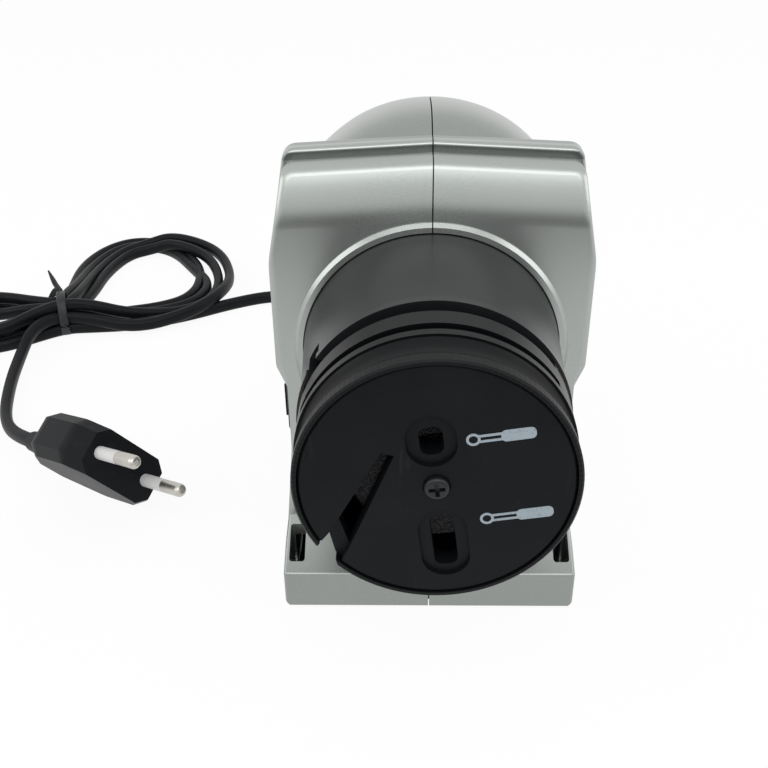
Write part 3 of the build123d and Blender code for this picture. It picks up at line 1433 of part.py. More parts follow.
plug_flat = Plane(origin=plug_origin, x_dir=pin_direction, z_dir=flat_direction)
with BuildPart() as plug_body:
    with BuildSketch(plug_flat):
        with BuildLine():
            FilletPolyline((plug_front, plug_face_half_width), (plug_front - plug_cheek, plug_half_width),
                           (plug_back + plug_shoulder, plug_half_width), (plug_back, plug_tail_half_width),
                           (plug_back, -plug_tail_half_width), (plug_back + plug_shoulder, -plug_half_width),
                           (plug_front - plug_cheek, -plug_half_width), (plug_front, -plug_face_half_width),
                           radius=[6, 8, 4, 4, 8, 6])
            Line((plug_front, -plug_face_half_width), (plug_front, plug_face_half_width))
        make_face()
    extrude(amount=plug_thickness / 2, both=True)
    flat_faces = plug_body.faces().filter_by(
        lambda face: abs(face.normal_at().dot(plug_flat.z_dir)) > 0.99)
    chamfer(flat_faces.edges().filter_by(
        lambda edge: (edge.center() - plug_origin).dot(pin_direction) < plug_front - 0.1), plug_bevel)
    with BuildSketch(Plane(origin=plug_origin + pin_direction * plug_back, x_dir=across_direction,
                           z_dir=-pin_direction)):
        Circle(plug_boot_radius)
    with BuildSketch(Plane(origin=boot_end, x_dir=across_direction, z_dir=-pin_direction)):
        Circle(plug_boot_tip_radius)
    loft()
save(plug_body.part, "plug_body")

pin_base = plug_origin + pin_direction * plug_front
pin_planes = [Plane(origin=pin_base + across_direction * (side * pin_spacing / 2),
                    x_dir=across_direction, z_dir=pin_direction) for side in (-1, 1)]
with BuildPart() as plug_pins:
    for plane in pin_planes:
        with BuildSketch(plane):
            Circle(pin_radius - pin_sleeve_wall)
        extrude(amount=pin_sleeve_length)
        with BuildSketch(plane.offset(pin_sleeve_length)):
            Circle(pin_radius)
        extrude(amount=pin_length - pin_sleeve_length)
        tip = plane.offset(pin_length).origin
        fillet(plug_pins.faces().sort_by_distance(tip)[0].edges(), pin_radius * 0.7)
save(plug_pins.part, "plug_pins")

with BuildPart() as pin_sleeves:
    for plane in pin_planes:
        with BuildSketch(plane):
            Circle(pin_radius)
            Circle(pin_radius - pin_sleeve_wall, mode=Mode.SUBTRACT)
        extrude(amount=pin_sleeve_length)
save(pin_sleeves.part, "pin_sleeves")
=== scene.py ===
from math import cos, pi, radians, sin

import bmesh
import bpy
from bpy.props import FloatProperty, FloatVectorProperty, IntProperty, PointerProperty
from bpy.types import Operator, Panel, PropertyGroup
from mathutils import Matrix, Vector


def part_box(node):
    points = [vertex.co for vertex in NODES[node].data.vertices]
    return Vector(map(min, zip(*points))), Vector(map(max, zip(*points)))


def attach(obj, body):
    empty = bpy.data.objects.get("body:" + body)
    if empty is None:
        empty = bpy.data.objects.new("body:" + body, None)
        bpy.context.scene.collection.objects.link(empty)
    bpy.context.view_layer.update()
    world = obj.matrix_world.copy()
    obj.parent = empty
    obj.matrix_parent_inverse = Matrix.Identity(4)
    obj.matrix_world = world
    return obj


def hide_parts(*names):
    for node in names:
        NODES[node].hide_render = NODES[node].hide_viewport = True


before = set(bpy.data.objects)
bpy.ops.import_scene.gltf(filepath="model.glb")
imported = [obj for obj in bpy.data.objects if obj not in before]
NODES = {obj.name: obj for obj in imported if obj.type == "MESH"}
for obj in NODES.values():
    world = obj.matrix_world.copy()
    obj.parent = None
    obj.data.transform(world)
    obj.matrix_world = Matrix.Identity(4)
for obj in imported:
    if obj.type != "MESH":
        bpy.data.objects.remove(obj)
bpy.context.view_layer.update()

bl_info = {
    "name": "Electric sharpener looks",
    "version": (1, 0, 0),
    "blender": (4, 5, 0),
    "location": "View3D > Sidebar > Sharpener",
    "description": "Dresses the sharpener's frame with its cord, tie, finishes and stage",
    "category": "Object",
}

WHITE = (1.0, 1.0, 1.0, 1.0)

# The floor's own glow where the camera looks, and the dark card in front of the object
FLOOR_GLOW = 1.03
CARD_HALF_WIDTH = 0.8
CARD_CENTRE = (0.0, -1.075, 0.002)

# The head's axis: its height and the place of the head's front face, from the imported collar
COLLAR_LOW, COLLAR_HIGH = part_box("collar")
AXIS_HEIGHT = (COLLAR_LOW.z + COLLAR_HIGH.z) / 2
HEAD_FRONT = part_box("guide_sleeve")[0].y
# The fascia's soft shoulder: the fascia's front and top, the band behind it, how far down the
# shoulder starts, and how far the front, the top and the band's edge roll over
FASCIA_FRONT_Y = -0.0185
FASCIA_TOP = 0.1233
FASCIA_CROWN_SLOPE = 0.054
BAND_FACE_Y = -0.0125
BAND_TOP = 0.1262
SHOULDER_HEIGHT = 0.0150
SHOULDER_ROLL = 0.0044
TOP_ROLL = 0.0022
BAND_ROLL = 0.0005
# Height of the band's rolled edge, where the painted shade on the band's face ends below its top, how
# near a face's own depth counts as on it, and where the hood starts, from which on the colour holds
# painted shade
BAND_EDGE_HEIGHT = 0.0014
BAND_DARK_END = 0.0010
FACE_MARGIN = 0.0003
HOOD_Y = BAND_FACE_Y + 0.0020
# The base ramp in front of the fascia, under the head, where shade is painted into the colour: from
# this depth and height down
RAMP_DEPTH = (-0.034, -0.022)
RAMP_HEIGHT = (0.016, 0.036)


# ------------------------------------------------------------------ shader maths
class Signal:
    """A node's output that can be used in sums: each sum adds its own Math node."""

    def __init__(self, tree, socket):
        self.tree = tree
        self.socket = socket

    def maths(self, operation, *values):
        node = self.tree.nodes.new("ShaderNodeMath")
        node.operation = operation
        for slot, value in zip(node.inputs, values):
            if isinstance(value, Signal):
                self.tree.links.new(value.socket, slot)
            else:
                slot.default_value = value
        return Signal(self.tree, node.outputs[0])

    def __add__(self, other):
        return self.maths("ADD", self, other)

    def __radd__(self, other):
        return self.maths("ADD", other, self)

    def __sub__(self, other):
        return self.maths("SUBTRACT", self, other)

    def __rsub__(self, other):
        return self.maths("SUBTRACT", other, self)

    def __mul__(self, other):
        return self.maths("MULTIPLY", self, other)

    def __rmul__(self, other):
        return self.maths("MULTIPLY", other, self)

    def __pow__(self, other):
        return self.maths("POWER", self, other)

    def above(self, edge):
        return self.maths("GREATER_THAN", self, edge)

    def below(self, edge):
        return self.maths("LESS_THAN", self, edge)

    def wave(self):
        return self.maths("SINE", self)

    def size(self):
        return self.maths("ABSOLUTE", self)

    def turn_from(self, other):
        return self.maths("ARCTAN2", self, other)

    def fade(self, low, high):
        """0 below one value, 1 above the other, and straight between them."""
        return add_node(self.tree, "ShaderNodeMapRange", {"clamp": True},
                        {"From Min": low, "From Max": high, "Value": self}, "Result")


def add_node(tree, kind, settings=None, inputs=None, out=0):
    """Add any node: its settings first, then the values or links of its sockets."""
    node = tree.nodes.new(kind)
    for name, value in (settings or {}).items():
        setattr(node, name, value)
    for name, value in (inputs or {}).items():
        if isinstance(value, Signal):
            tree.links.new(value.socket, node.inputs[name])
        else:
            node.inputs[name].default_value = value
    return Signal(tree, node.outputs[out])


class Finish:
    """A material being made, with its shader and the patterns that its finish is built from."""

    def __init__(self, name, constants):
        self.material = bpy.data.materials.new(name)
        self.material.use_nodes = True
        self.tree = self.material.node_tree
        self.shader = self.tree.nodes["Principled BSDF"]
        self.place = self.add("ShaderNodeTexCoord", out="Object")
        self.wear(constants)

    def add(self, kind, settings=None, inputs=None, out=0):
        return add_node(self.tree, kind, settings, inputs, out)

    def wear(self, values):
        """Set or link the shader's own sockets."""
        for name, value in values.items():
            if isinstance(value, Signal):
                self.tree.links.new(value.socket, self.shader.inputs[name])
            else:
                self.shader.inputs[name].default_value = value

    def axis(self, letter):
        return self.add("ShaderNodeSeparateXYZ", inputs={"Vector": self.place}, out=letter)

    def stretched(self, scale):
        """Object coordinates stretched along the axes."""
        return self.add("ShaderNodeMapping", inputs={"Vector": self.place, "Scale": scale})

    def noise(self, scale, detail=2.0, roughness=0.5, where=None):
        return self.add("ShaderNodeTexNoise",
                        inputs={"Vector": where or self.place, "Scale": scale, "Detail": detail,
                                "Roughness": roughness}, out="Fac")

    def cells(self, scale, out="Distance", where=None):
        return self.add("ShaderNodeTexVoronoi",
                        inputs={"Vector": where or self.place, "Scale": scale}, out=out)

    def tint(self, share, first, second):
        """Blend two colours by a signal."""
        return self.add("ShaderNodeMix", {"data_type": "RGBA"},
                        {0: share, 6: first, 7: second}, out=2)

    def relief(self, height, depth, strength=1.0, under=None):
        """A bump of a real depth in metres, as a normal."""
        inputs = {"Height": height, "Distance": depth, "Strength": strength}
        if under:
            inputs["Normal"] = under
        return self.add("ShaderNodeBump", inputs=inputs)


def shade(colour, factor):
    """The colour made lighter or darker, with full alpha."""
    return (*[min(channel * factor, 1.0) for channel in colour[:3]], 1.0)


# ------------------------------------------------------------------ sizes and colours
def length_setting(name, description, default):
    return FloatProperty(name=name, description=description, default=default, min=0.0,
                         precision=5, unit="LENGTH")


def colour_setting(name, description, default):
    return FloatVectorProperty(name=name, description=description, default=default, size=3,
                               min=0.0, max=1.0, subtype="COLOR")


def share_setting(name, description, default):
    return FloatProperty(name=name, description=description, default=default, min=0.0, max=1.0,
                         subtype="FACTOR")


class SharpenerStage(PropertyGroup):
    """Camera, lamps and floor."""

    eye: FloatVectorProperty(name="Eye", description="Place of the camera",
                             default=(-0.0065, -0.2389, 0.1985), subtype="XYZ", unit="LENGTH")
    look_down: FloatProperty(name="Look down", description="Angle of the camera below level",
                             default=radians(31.4), subtype="ANGLE")
    look_left: FloatProperty(name="Look left", description="Turn of the camera to the left",
                             default=radians(1.41), subtype="ANGLE")
    roll: FloatProperty(name="Roll", description="Roll of the camera",
                        default=radians(-0.75), subtype="ANGLE")
    lens: FloatProperty(name="Lens", description="Focal length on a 36 mm sensor", default=46.9,
                        unit="CAMERA")
    floor_colour: colour_setting("Floor", "Colour of the floor", (0.86, 0.86, 0.86))
    floor_white: share_setting("Floor white", "Share of plain white that the camera sees", 0.90)
    top_lamp: FloatProperty(name="Top lamp", description="Power of the wide lamp above",
                            default=3.4, min=0.0, unit="POWER")
    side_lamps: FloatProperty(name="Side lamps", description="Power of each lamp at the side",
                              default=1.5, min=0.0, unit="POWER")
    room_light: share_setting("Room light", "Even light from all round", 0.57)


class SharpenerCord(PropertyGroup):
    """Mains cord and its tie."""

    cord_width: length_setting("Cord width", "Width of the flat mains cord", 0.0052)
    cord_thickness: length_setting("Cord thickness", "Thickness of the flat mains cord", 0.0041)
    tie_width: length_setting("Tie width", "Width of the twist tie's band", 0.0036)
    tie_thickness: length_setting("Tie thickness", "Thickness of the twist tie's band", 0.0011)
    sheath_colour: colour_setting("Sheath", "Colour of the cord's sheath", (0.0062, 0.0070, 0.0084))
    tie_colour: colour_setting("Tie", "Colour of the twist tie", (0.009, 0.010, 0.012))


class SharpenerFinishes(PropertyGroup):
    """Colours of the rigid pieces."""

    silver: colour_setting("Silver paint", "Colour of the painted housing", (0.400, 0.425, 0.405))
    disc_black: colour_setting("Disc black", "Colour of the grained front disc",
                               (0.0050, 0.0062, 0.0078))
    satin_black: colour_setting("Satin black", "Colour of collar, sleeve and rocker",
                                (0.0068, 0.0076, 0.0088))
    sign: colour_setting("Signs", "Colour of the printed tool signs", (0.345, 0.405, 0.450))
    steel: colour_setting("Steel", "Colour of zinc plated steel", (0.56, 0.57, 0.58))
    brass: colour_setting("Brass", "Colour of terminals and brush tubes", (0.62, 0.46, 0.20))
    copper: colour_setting("Copper", "Colour of lacquered winding wire", (0.42, 0.17, 0.06))
    grit: colour_setting("Grit", "Colour of the grinding wheel", (0.060, 0.060, 0.064))
    knurl_ribs: IntProperty(name="Knurl ribs", description="Ribs round the sleeve's rim",
                            default=150, min=10)


# ------------------------------------------------------------------ finishes
def silver_paint(name, colour):
    """Silver paint on moulded plastic: fine flakes, a thin clear coat and a soft orange peel, with
    painted shade on the band's face, the base ramp and the hood.
    """
    paint = Finish(name, {"Metallic": 0.86, "Coat Roughness": 0.15, "Specular IOR Level": 0.45})
    flakes = paint.cells(5200, out="Color")
    sparkle = paint.add("ShaderNodeSeparateColor", inputs={"Color": flakes}, out="Red")
    cloud = paint.noise(26, 3.0)
    peel = paint.noise(900, 2.0)
    depth, height = paint.axis("Y"), paint.axis("Z")
    climb = height + paint.axis("X").size() * FASCIA_CROWN_SLOPE
    in_front = depth.below(BAND_FACE_Y - FACE_MARGIN)
    on_band = (depth - BAND_FACE_Y).size().below(FACE_MARGIN) * climb.above(FASCIA_TOP)
    fall = (climb.fade(FASCIA_TOP - SHOULDER_HEIGHT, FASCIA_TOP) ** 1.9 * SHOULDER_ROLL
            + (1 - depth.fade(FASCIA_FRONT_Y, BAND_FACE_Y)) * TOP_ROLL) * in_front
    band_edge = climb.fade(BAND_TOP - BAND_EDGE_HEIGHT, BAND_TOP) ** 2.0 * on_band
    rolled = paint.relief(-1 * (fall + band_edge * BAND_ROLL), 1.0)
    # Painted shade: the band's face below its rolled edge is darkened, as shade in the corner over the
    # fascia's top
    painted_band_shade = on_band * climb.below(BAND_TOP - BAND_DARK_END)
    # Painted shade: the base ramp under the head is darkened towards the foot, as shade and the head's
    # dark reflection
    low = (1 - height.fade(*RAMP_HEIGHT)) * (1 - depth.fade(*RAMP_DEPTH))
    tone = paint.tint(cloud.fade(0.3, 0.7), shade(colour, 0.96), shade(colour, 1.03))
    tone = paint.tint(low * 0.55, tone, shade(colour, 0.45))
    tone = paint.tint(painted_band_shade * 0.6, tone, shade(colour, 0.15))
    # Painted shade: the hood behind the band is painted darker, standing in for its dimmer reflection
    # of the room
    tone = paint.tint(depth.above(HOOD_Y) * 0.9, tone, shade(colour, 0.70))
    paint.wear({
        "Base Color": paint.tint(sparkle * 0.10, tone, shade(colour, 1.4)),
        "Roughness": 0.25 + cloud * 0.05 + sparkle * 0.03,
        "Coat Weight": 0.12 + cloud * 0.06,
        "Normal": paint.relief(sparkle * 0.12 + peel, 0.00003, 0.16, rolled)})
    return paint.material


def grained_black(name, colour, roughness=0.44, specular=0.12, grain=2600):
    """Black moulding with a fine spark-eroded grain and a few light rub marks."""
    mould = Finish(name, {"Specular IOR Level": specular})
    fine = mould.noise(grain, 2.0, 0.6)
    cloud = mould.noise(55, 4.0, 0.6)
    marks = mould.noise(420, 3.0, 0.7, mould.stretched((1.0, 1.0, 0.08))).fade(0.66, 0.76)
    specks = 1 - mould.cells(620).fade(0.05, 0.11)
    mould.wear({
        "Base Color": mould.tint(marks * 0.06 + specks * 0.08 + cloud.fade(0.4, 0.8) * 0.03,
                                 (*colour, 1.0), (0.10, 0.11, 0.12, 1.0)),
        "Roughness": roughness + cloud * 0.10 - marks * 0.06,
        "Normal": mould.relief(fine, 0.00005, 0.45)})
    return mould.material


def satin_black(name, colour, roughness=0.30, specular=0.42):
    """Smooth black moulding with a satin skin, faint rings from the mould and dust."""
    mould = Finish(name, {"Specular IOR Level": specular, "Coat Roughness": 0.25})
    cloud = mould.noise(70, 3.0)
    dust = 1 - mould.cells(480).fade(0.03, 0.07)
    rings = (mould.axis("Y") * 5200).wave()
    fine = mould.noise(1900, 2.0)
    mould.wear({
        "Base Color": mould.tint(dust * 0.22 + cloud * 0.05, (*colour, 1.0), (0.13, 0.14, 0.15, 1.0)),
        "Roughness": roughness + cloud * 0.10 + dust * 0.2,
        "Coat Weight": 0.10 + cloud * 0.06,
        "Normal": mould.relief(rings * 0.15 + fine * 0.5, 0.00003, 0.3)})
    return mould.material


def sleeve_black(name, colour, ribs):
    """The guide sleeve's black, with a fine knurl round its front rim."""
    mould = Finish(name, {"Specular IOR Level": 0.17})
    across = mould.axis("X")
    up = mould.axis("Z") - AXIS_HEIGHT
    rim = mould.axis("Y").below(HEAD_FRONT + 0.0028)
    ribbing = (up.turn_from(across) * ribs).wave()
    cloud = mould.noise(80, 3.0)
    dust = 1 - mould.cells(520).fade(0.03, 0.07)
    mould.wear({
        "Base Color": mould.tint(dust * 0.14, (*colour, 1.0), (0.12, 0.13, 0.14, 1.0)),
        "Roughness": 0.30 + cloud * 0.10 + rim * 0.12,
        "Normal": mould.relief(ribbing * rim, 0.00004, 0.4,
                               mould.relief(mould.noise(2100, 2.0), 0.00003, 0.3))})
    return mould.material


def sheath(name, colour, roughness=0.34):
    """Soft black sheath of a mains cord, with faint rub marks."""
    skin = Finish(name, {"Specular IOR Level": 0.13})
    cloud = skin.noise(60, 4.0, 0.6)
    fine = skin.noise(2400, 2.0)
    rubbed = skin.noise(260, 3.0).fade(0.6, 0.75)
    skin.wear({
        "Base Color": skin.tint(rubbed * 0.07 + cloud * 0.03, (*colour, 1.0), (0.085, 0.09, 0.10, 1.0)),
        "Roughness": roughness + cloud * 0.14,
        "Normal": skin.relief(fine, 0.00004, 0.35)})
    return skin.material


def plated(name, colour, roughness=0.28, turned=False):
    """Plated or bare metal with fine brushing and small stains."""
    metal = Finish(name, {"Metallic": 1.0})
    along = (1.0, 0.05, 1.0) if turned else (0.2, 1.0, 1.0)
    brushed = metal.noise(900, 3.0, 0.6, metal.stretched(along))
    stain = metal.noise(240, 4.0, 0.65).fade(0.45, 0.8)
    metal.wear({
        "Base Color": metal.tint(stain * 0.5, (*colour, 1.0), shade(colour, 0.72)),
        "Roughness": roughness + brushed * 0.14 + stain * 0.12,
        "Normal": metal.relief(brushed, 0.00003, 0.4)})
    return metal.material


def laminated(name, colour):
    """Stacked electrical sheets, seen as fine lines along the shaft."""
    core = Finish(name, {"Metallic": 0.85})
    lines = (core.axis("Y") * (2 * pi / 0.0005)).wave()
    rust = core.noise(180, 5.0, 0.7).fade(0.62, 0.82)
    core.wear({
        "Base Color": core.tint(rust * 0.6, (*colour, 1.0), (0.20, 0.10, 0.05, 1.0)),
        "Roughness": 0.45 + rust * 0.3,
        "Normal": core.relief(lines, 0.00008, 0.6)})
    return core.material


def wound_copper(name, colour):
    """Lacquered copper wire laid side by side."""
    wire = Finish(name, {"Metallic": 0.6, "Coat Roughness": 0.2})
    lay = (wire.axis("X") * 9000 + wire.axis("Z") * 9000).wave()
    cloud = wire.noise(300, 3.0)
    wire.wear({
        "Base Color": wire.tint(cloud.fade(0.35, 0.75), shade(colour, 0.75), shade(colour, 1.15)),
        "Roughness": 0.32 + cloud * 0.15,
        "Coat Weight": 0.3 + cloud * 0.1,
        "Normal": wire.relief(lay, 0.0001, 0.7)})
    return wire.material


def barred_copper(name, colour):
    """Turned copper of the commutator, darker where the brushes run."""
    bars = Finish(name, {"Metallic": 1.0})
    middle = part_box("commutator")
    centre = (middle[0].y + middle[1].y) / 2
    track = 1 - (bars.axis("Y") - centre).size().fade(0.0022, 0.0034)
    turned = bars.noise(1500, 2.0, 0.5, bars.stretched((0.1, 1.0, 0.1)))
    bars.wear({
        "Base Color": bars.tint(track * 0.7, (*colour, 1.0), (0.16, 0.09, 0.06, 1.0)),
        "Roughness": 0.25 + turned * 0.2,
        "Normal": bars.relief(turned, 0.00003, 0.5)})
    return bars.material


def bonded_grit(name, colour):
    """Rough bonded grit of the grinding wheel, loaded with dark swarf."""
    wheel = Finish(name, {"Specular IOR Level": 0.3})
    grains = wheel.cells(2600)
    hue = wheel.cells(2600, out="Color")
    bright = wheel.add("ShaderNodeSeparateColor", inputs={"Color": hue}, out="Green")
    swarf = wheel.noise(160, 4.0, 0.65).fade(0.45, 0.7)
    stone = wheel.tint(bright, shade(colour, 0.45), shade(colour, 1.9))
    wheel.wear({
        "Base Color": wheel.tint(swarf * 0.6, stone, (0.016, 0.016, 0.018, 1.0)),
        "Roughness": 0.62 + bright * 0.25,
        "Normal": wheel.relief(grains, 0.0004, 1.0)})
    return wheel.material


def printed_sign(name, colour):
    """Pale ink with a fine dotted screen, a little worn."""
    ink = Finish(name, {"Specular IOR Level": 0.3})
    dots = ink.cells(1500, where=ink.stretched((1.0, 0.0, 1.0))).fade(0.16, 0.36)
    wornness = ink.noise(700, 3.0).fade(0.62, 0.8)
    ink.wear({
        "Base Color": ink.tint((1 - dots) * 0.35 + wornness * 0.3, (*colour, 1.0),
                               (0.10, 0.12, 0.15, 1.0)),
        "Roughness": 0.5 + wornness * 0.2,
        "Normal": ink.relief(dots, 0.00003, 0.3)})
    return ink.material


def moulded(name, colour, roughness=0.4, second=None, specular=0.4):
    """Plain moulded plastic or pressed block with a clouded colour and fine grain."""
    block = Finish(name, {"Specular IOR Level": specular})
    cloud = block.noise(120, 4.0, 0.6)
    fine = block.noise(2200, 2.0)
    block.wear({
        "Base Color": block.tint(cloud.fade(0.35, 0.75), (*colour, 1.0), second or shade(colour, 0.82)),
        "Roughness": roughness + cloud * 0.15,
        "Normal": block.relief(fine, 0.00004, 0.4)})
    return block.material


def rubber(name, colour):
    """Matt rubber with a dusty bloom."""
    pad = Finish(name, {"Specular IOR Level": 0.25})
    bloom = pad.noise(220, 5.0, 0.65)
    pad.wear({
        "Base Color": pad.tint(bloom.fade(0.5, 0.8) * 0.4, (*colour, 1.0), (0.09, 0.088, 0.085, 1.0)),
        "Roughness": 0.72 + bloom * 0.2,
        "Normal": pad.relief(pad.noise(1700, 3.0), 0.00008, 0.5)})
    return pad.material


def dress(material, *names):
    """Give CAD nodes a finish."""
    for name in names:
        mesh = NODES[name].data
        mesh.materials.clear()
        mesh.materials.append(material)


# ------------------------------------------------------------------ the cord's route
# From the grip down to the table and along it to the hank (X, Y, Z in metres)
CORD_ROUTE = (
    (0.0, 0.0935, 0.0130), (0.0, 0.1140, 0.0130), (-0.0140, 0.1360, 0.0080),
    (-0.0360, 0.1510, 0.0034), (-0.0620, 0.1570, 0.0028), (-0.0800, 0.1500, 0.0027))

# Places round one turn of the hank: the innermost and outermost strand there (X, Y)
RIGHT_LOOP = (
    ((-0.1470, 0.1435), (-0.1530, 0.1480)), ((-0.1450, 0.1600), (-0.1555, 0.1630)),
    ((-0.1445, 0.1810), (-0.1570, 0.1860)), ((-0.1385, 0.2010), (-0.1510, 0.2060)),
    ((-0.1270, 0.2030), (-0.1385, 0.2165)), ((-0.1170, 0.1975), (-0.1190, 0.2165)),
    ((-0.1040, 0.1830), (-0.0945, 0.1975)), ((-0.0985, 0.1650), (-0.0845, 0.1720)),
    ((-0.1025, 0.1515), (-0.0865, 0.1480)), ((-0.1130, 0.1445), (-0.0970, 0.1345)),
    ((-0.1270, 0.1405), (-0.1180, 0.1255)), ((-0.1390, 0.1373), (-0.1365, 0.1263)))
LEFT_LOOP = (
    ((-0.1600, 0.1265), (-0.1580, 0.1185)), ((-0.1730, 0.1178), (-0.1680, 0.1110)),
    ((-0.1900, 0.1165), (-0.1860, 0.1065)), ((-0.1985, 0.1220), (-0.2040, 0.1140)),
    ((-0.1995, 0.1310), (-0.2095, 0.1310)), ((-0.1910, 0.1365), (-0.1995, 0.1475)),
    ((-0.1770, 0.1345), (-0.1790, 0.1475)), ((-0.1650, 0.1325), (-0.1630, 0.1410)))
# Each turn's share of the way out and its height, place by place, in millimetres of height
RIGHT_TURNS = (
    ((0.90, 3.0), (1.00, 2.7), (1.00, 2.7), (1.00, 2.7), (1.00, 2.7), (0.75, 2.7), (0.25, 2.7),
     (0.00, 2.7), (0.00, 2.7), (0.00, 2.7), (0.00, 2.7), (0.15, 2.9)),
    ((0.10, 3.0), (0.00, 2.7), (0.00, 2.7), (0.02, 2.7), (0.05, 4.5), (0.30, 7.8), (0.62, 6.0),
     (0.66, 2.9), (0.68, 2.7), (0.52, 2.7), (0.50, 6.0), (0.60, 11.5)),
    ((0.90, 8.0), (0.66, 5.4), (0.66, 2.9), (0.68, 2.7), (0.68, 2.7), (0.42, 2.7), (0.00, 2.9),
     (0.33, 2.7), (0.34, 2.7), (0.26, 2.7), (0.25, 2.9), (0.20, 7.8)),
    ((0.15, 8.0), (0.33, 5.4), (0.33, 2.9), (0.35, 2.9), (0.35, 5.0), (0.72, 8.0), (1.00, 6.5),
     (1.00, 4.5), (1.04, 7.9), (1.00, 5.5), (1.00, 3.2), (1.00, 7.2)))
LEFT_TURNS = (
    ((0.95, 2.8), (1.00, 2.7), (1.00, 2.7), (1.00, 2.7), (1.00, 2.7), (1.00, 2.7), (1.00, 2.7),
     (0.95, 2.8)),
    ((0.25, 2.8), (0.40, 2.7), (0.45, 2.7), (0.45, 2.7), (0.45, 2.7), (0.50, 2.7), (0.45, 2.7),
     (0.30, 2.8)),
    ((0.60, 11.2), (0.78, 8.6), (0.82, 7.9), (0.85, 7.8), (0.80, 7.8), (0.75, 7.9), (0.78, 8.0),
     (0.85, 8.2)),
    ((0.15, 8.0), (0.10, 7.0), (0.05, 4.4), (-0.05, 3.0), (0.00, 2.9), (0.05, 2.9), (0.05, 4.6),
     (0.10, 7.8)))
# The tie's middle, the bundle's direction through it, and each strand's place across it
TIE_CENTRE = (-0.1500, 0.1320)
TIE_ANGLE = radians(24.3)
GOING_LEFT = ((-6.3, 3.0), (-2.2, 3.0), (-4.2, 13.0), (-2.2, 8.2), (-6.4, 8.2))
GOING_RIGHT = ((6.3, 3.0), (2.1, 3.0), (6.3, 8.2), (2.1, 8.2))
# From the tie over the hank's edge to the table and on to the plug
LEAD_ROUTE = (
    (-0.1532, 0.1212, 0.0090), (-0.1572, 0.1130, 0.0082), (-0.1580, 0.1010, 0.0042),
    (-0.1560, 0.0820, 0.0028), (-0.1500, 0.0580, 0.0029), (-0.1411, 0.0439, 0.0050),
    (-0.1307, 0.0352, 0.0086))


def in_tie(across, height):
    """A strand's place in the tie, from millimetres across the bundle and millimetres up."""
    return (TIE_CENTRE[0] - sin(TIE_ANGLE) * across / 1000,
            TIE_CENTRE[1] + cos(TIE_ANGLE) * across / 1000, height / 1000)


def between(pair, share):
    """A place (X, Y) some way from the innermost strand to the outermost one."""
    inner, outer = pair
    return (inner[0] + (outer[0] - inner[0]) * share, inner[1] + (outer[1] - inner[1]) * share)


def round_loop(loop, turn):
    """The control points of one pass round a loop of the hank."""
    return [(*between(pair, share), height / 1000) for pair, (share, height) in zip(loop, turn)]


def cord_points():
    """The whole cord, from the grip through the turns of the hank to the plug."""
    points = [*CORD_ROUTE, (*between(RIGHT_LOOP[9], 0.78), 0.0027),
              (*between(RIGHT_LOOP[10], 0.75), 0.0027), (-0.1372, 0.1272, 0.0029),
              in_tie(*GOING_LEFT[0])]
    for turn in range(4):
        points += round_loop(LEFT_LOOP, LEFT_TURNS[turn])
        points.append(in_tie(*GOING_RIGHT[turn]))
        points += round_loop(RIGHT_LOOP, RIGHT_TURNS[turn])
        points.append(in_tie(*GOING_LEFT[turn + 1]))
    return points + list(LEAD_ROUTE)


def nurbs_line(curve, points, closed=False, tilt=0.0):
    """Add one smooth spline with these control points."""
    spline = curve.splines.new("NURBS")
    spline.points.add(len(points) - 1)
    for point, place in zip(spline.points, points):
        point.co = (*place, 1.0)
        point.tilt = tilt
    spline.order_u = 3
    spline.use_endpoint_u = not closed
    spline.use_cyclic_u = closed
    spline.resolution_u = 8
    return spline


def ribbon_curve(name, thickness, width):
    """An empty curve whose section is a flat ribbon with round edges, standing on edge."""
    curve = bpy.data.curves.new(name, "CURVE")
    curve.dimensions = "3D"
    curve.twist_mode = "Z_UP"
    curve.bevel_depth = thickness / 2
    curve.extrude = (width - thickness) / 2
    curve.bevel_resolution = 3
    curve.use_fill_caps = True
    piece = bpy.data.objects.new(name, curve)
    bpy.context.scene.collection.objects.link(piece)
    return piece


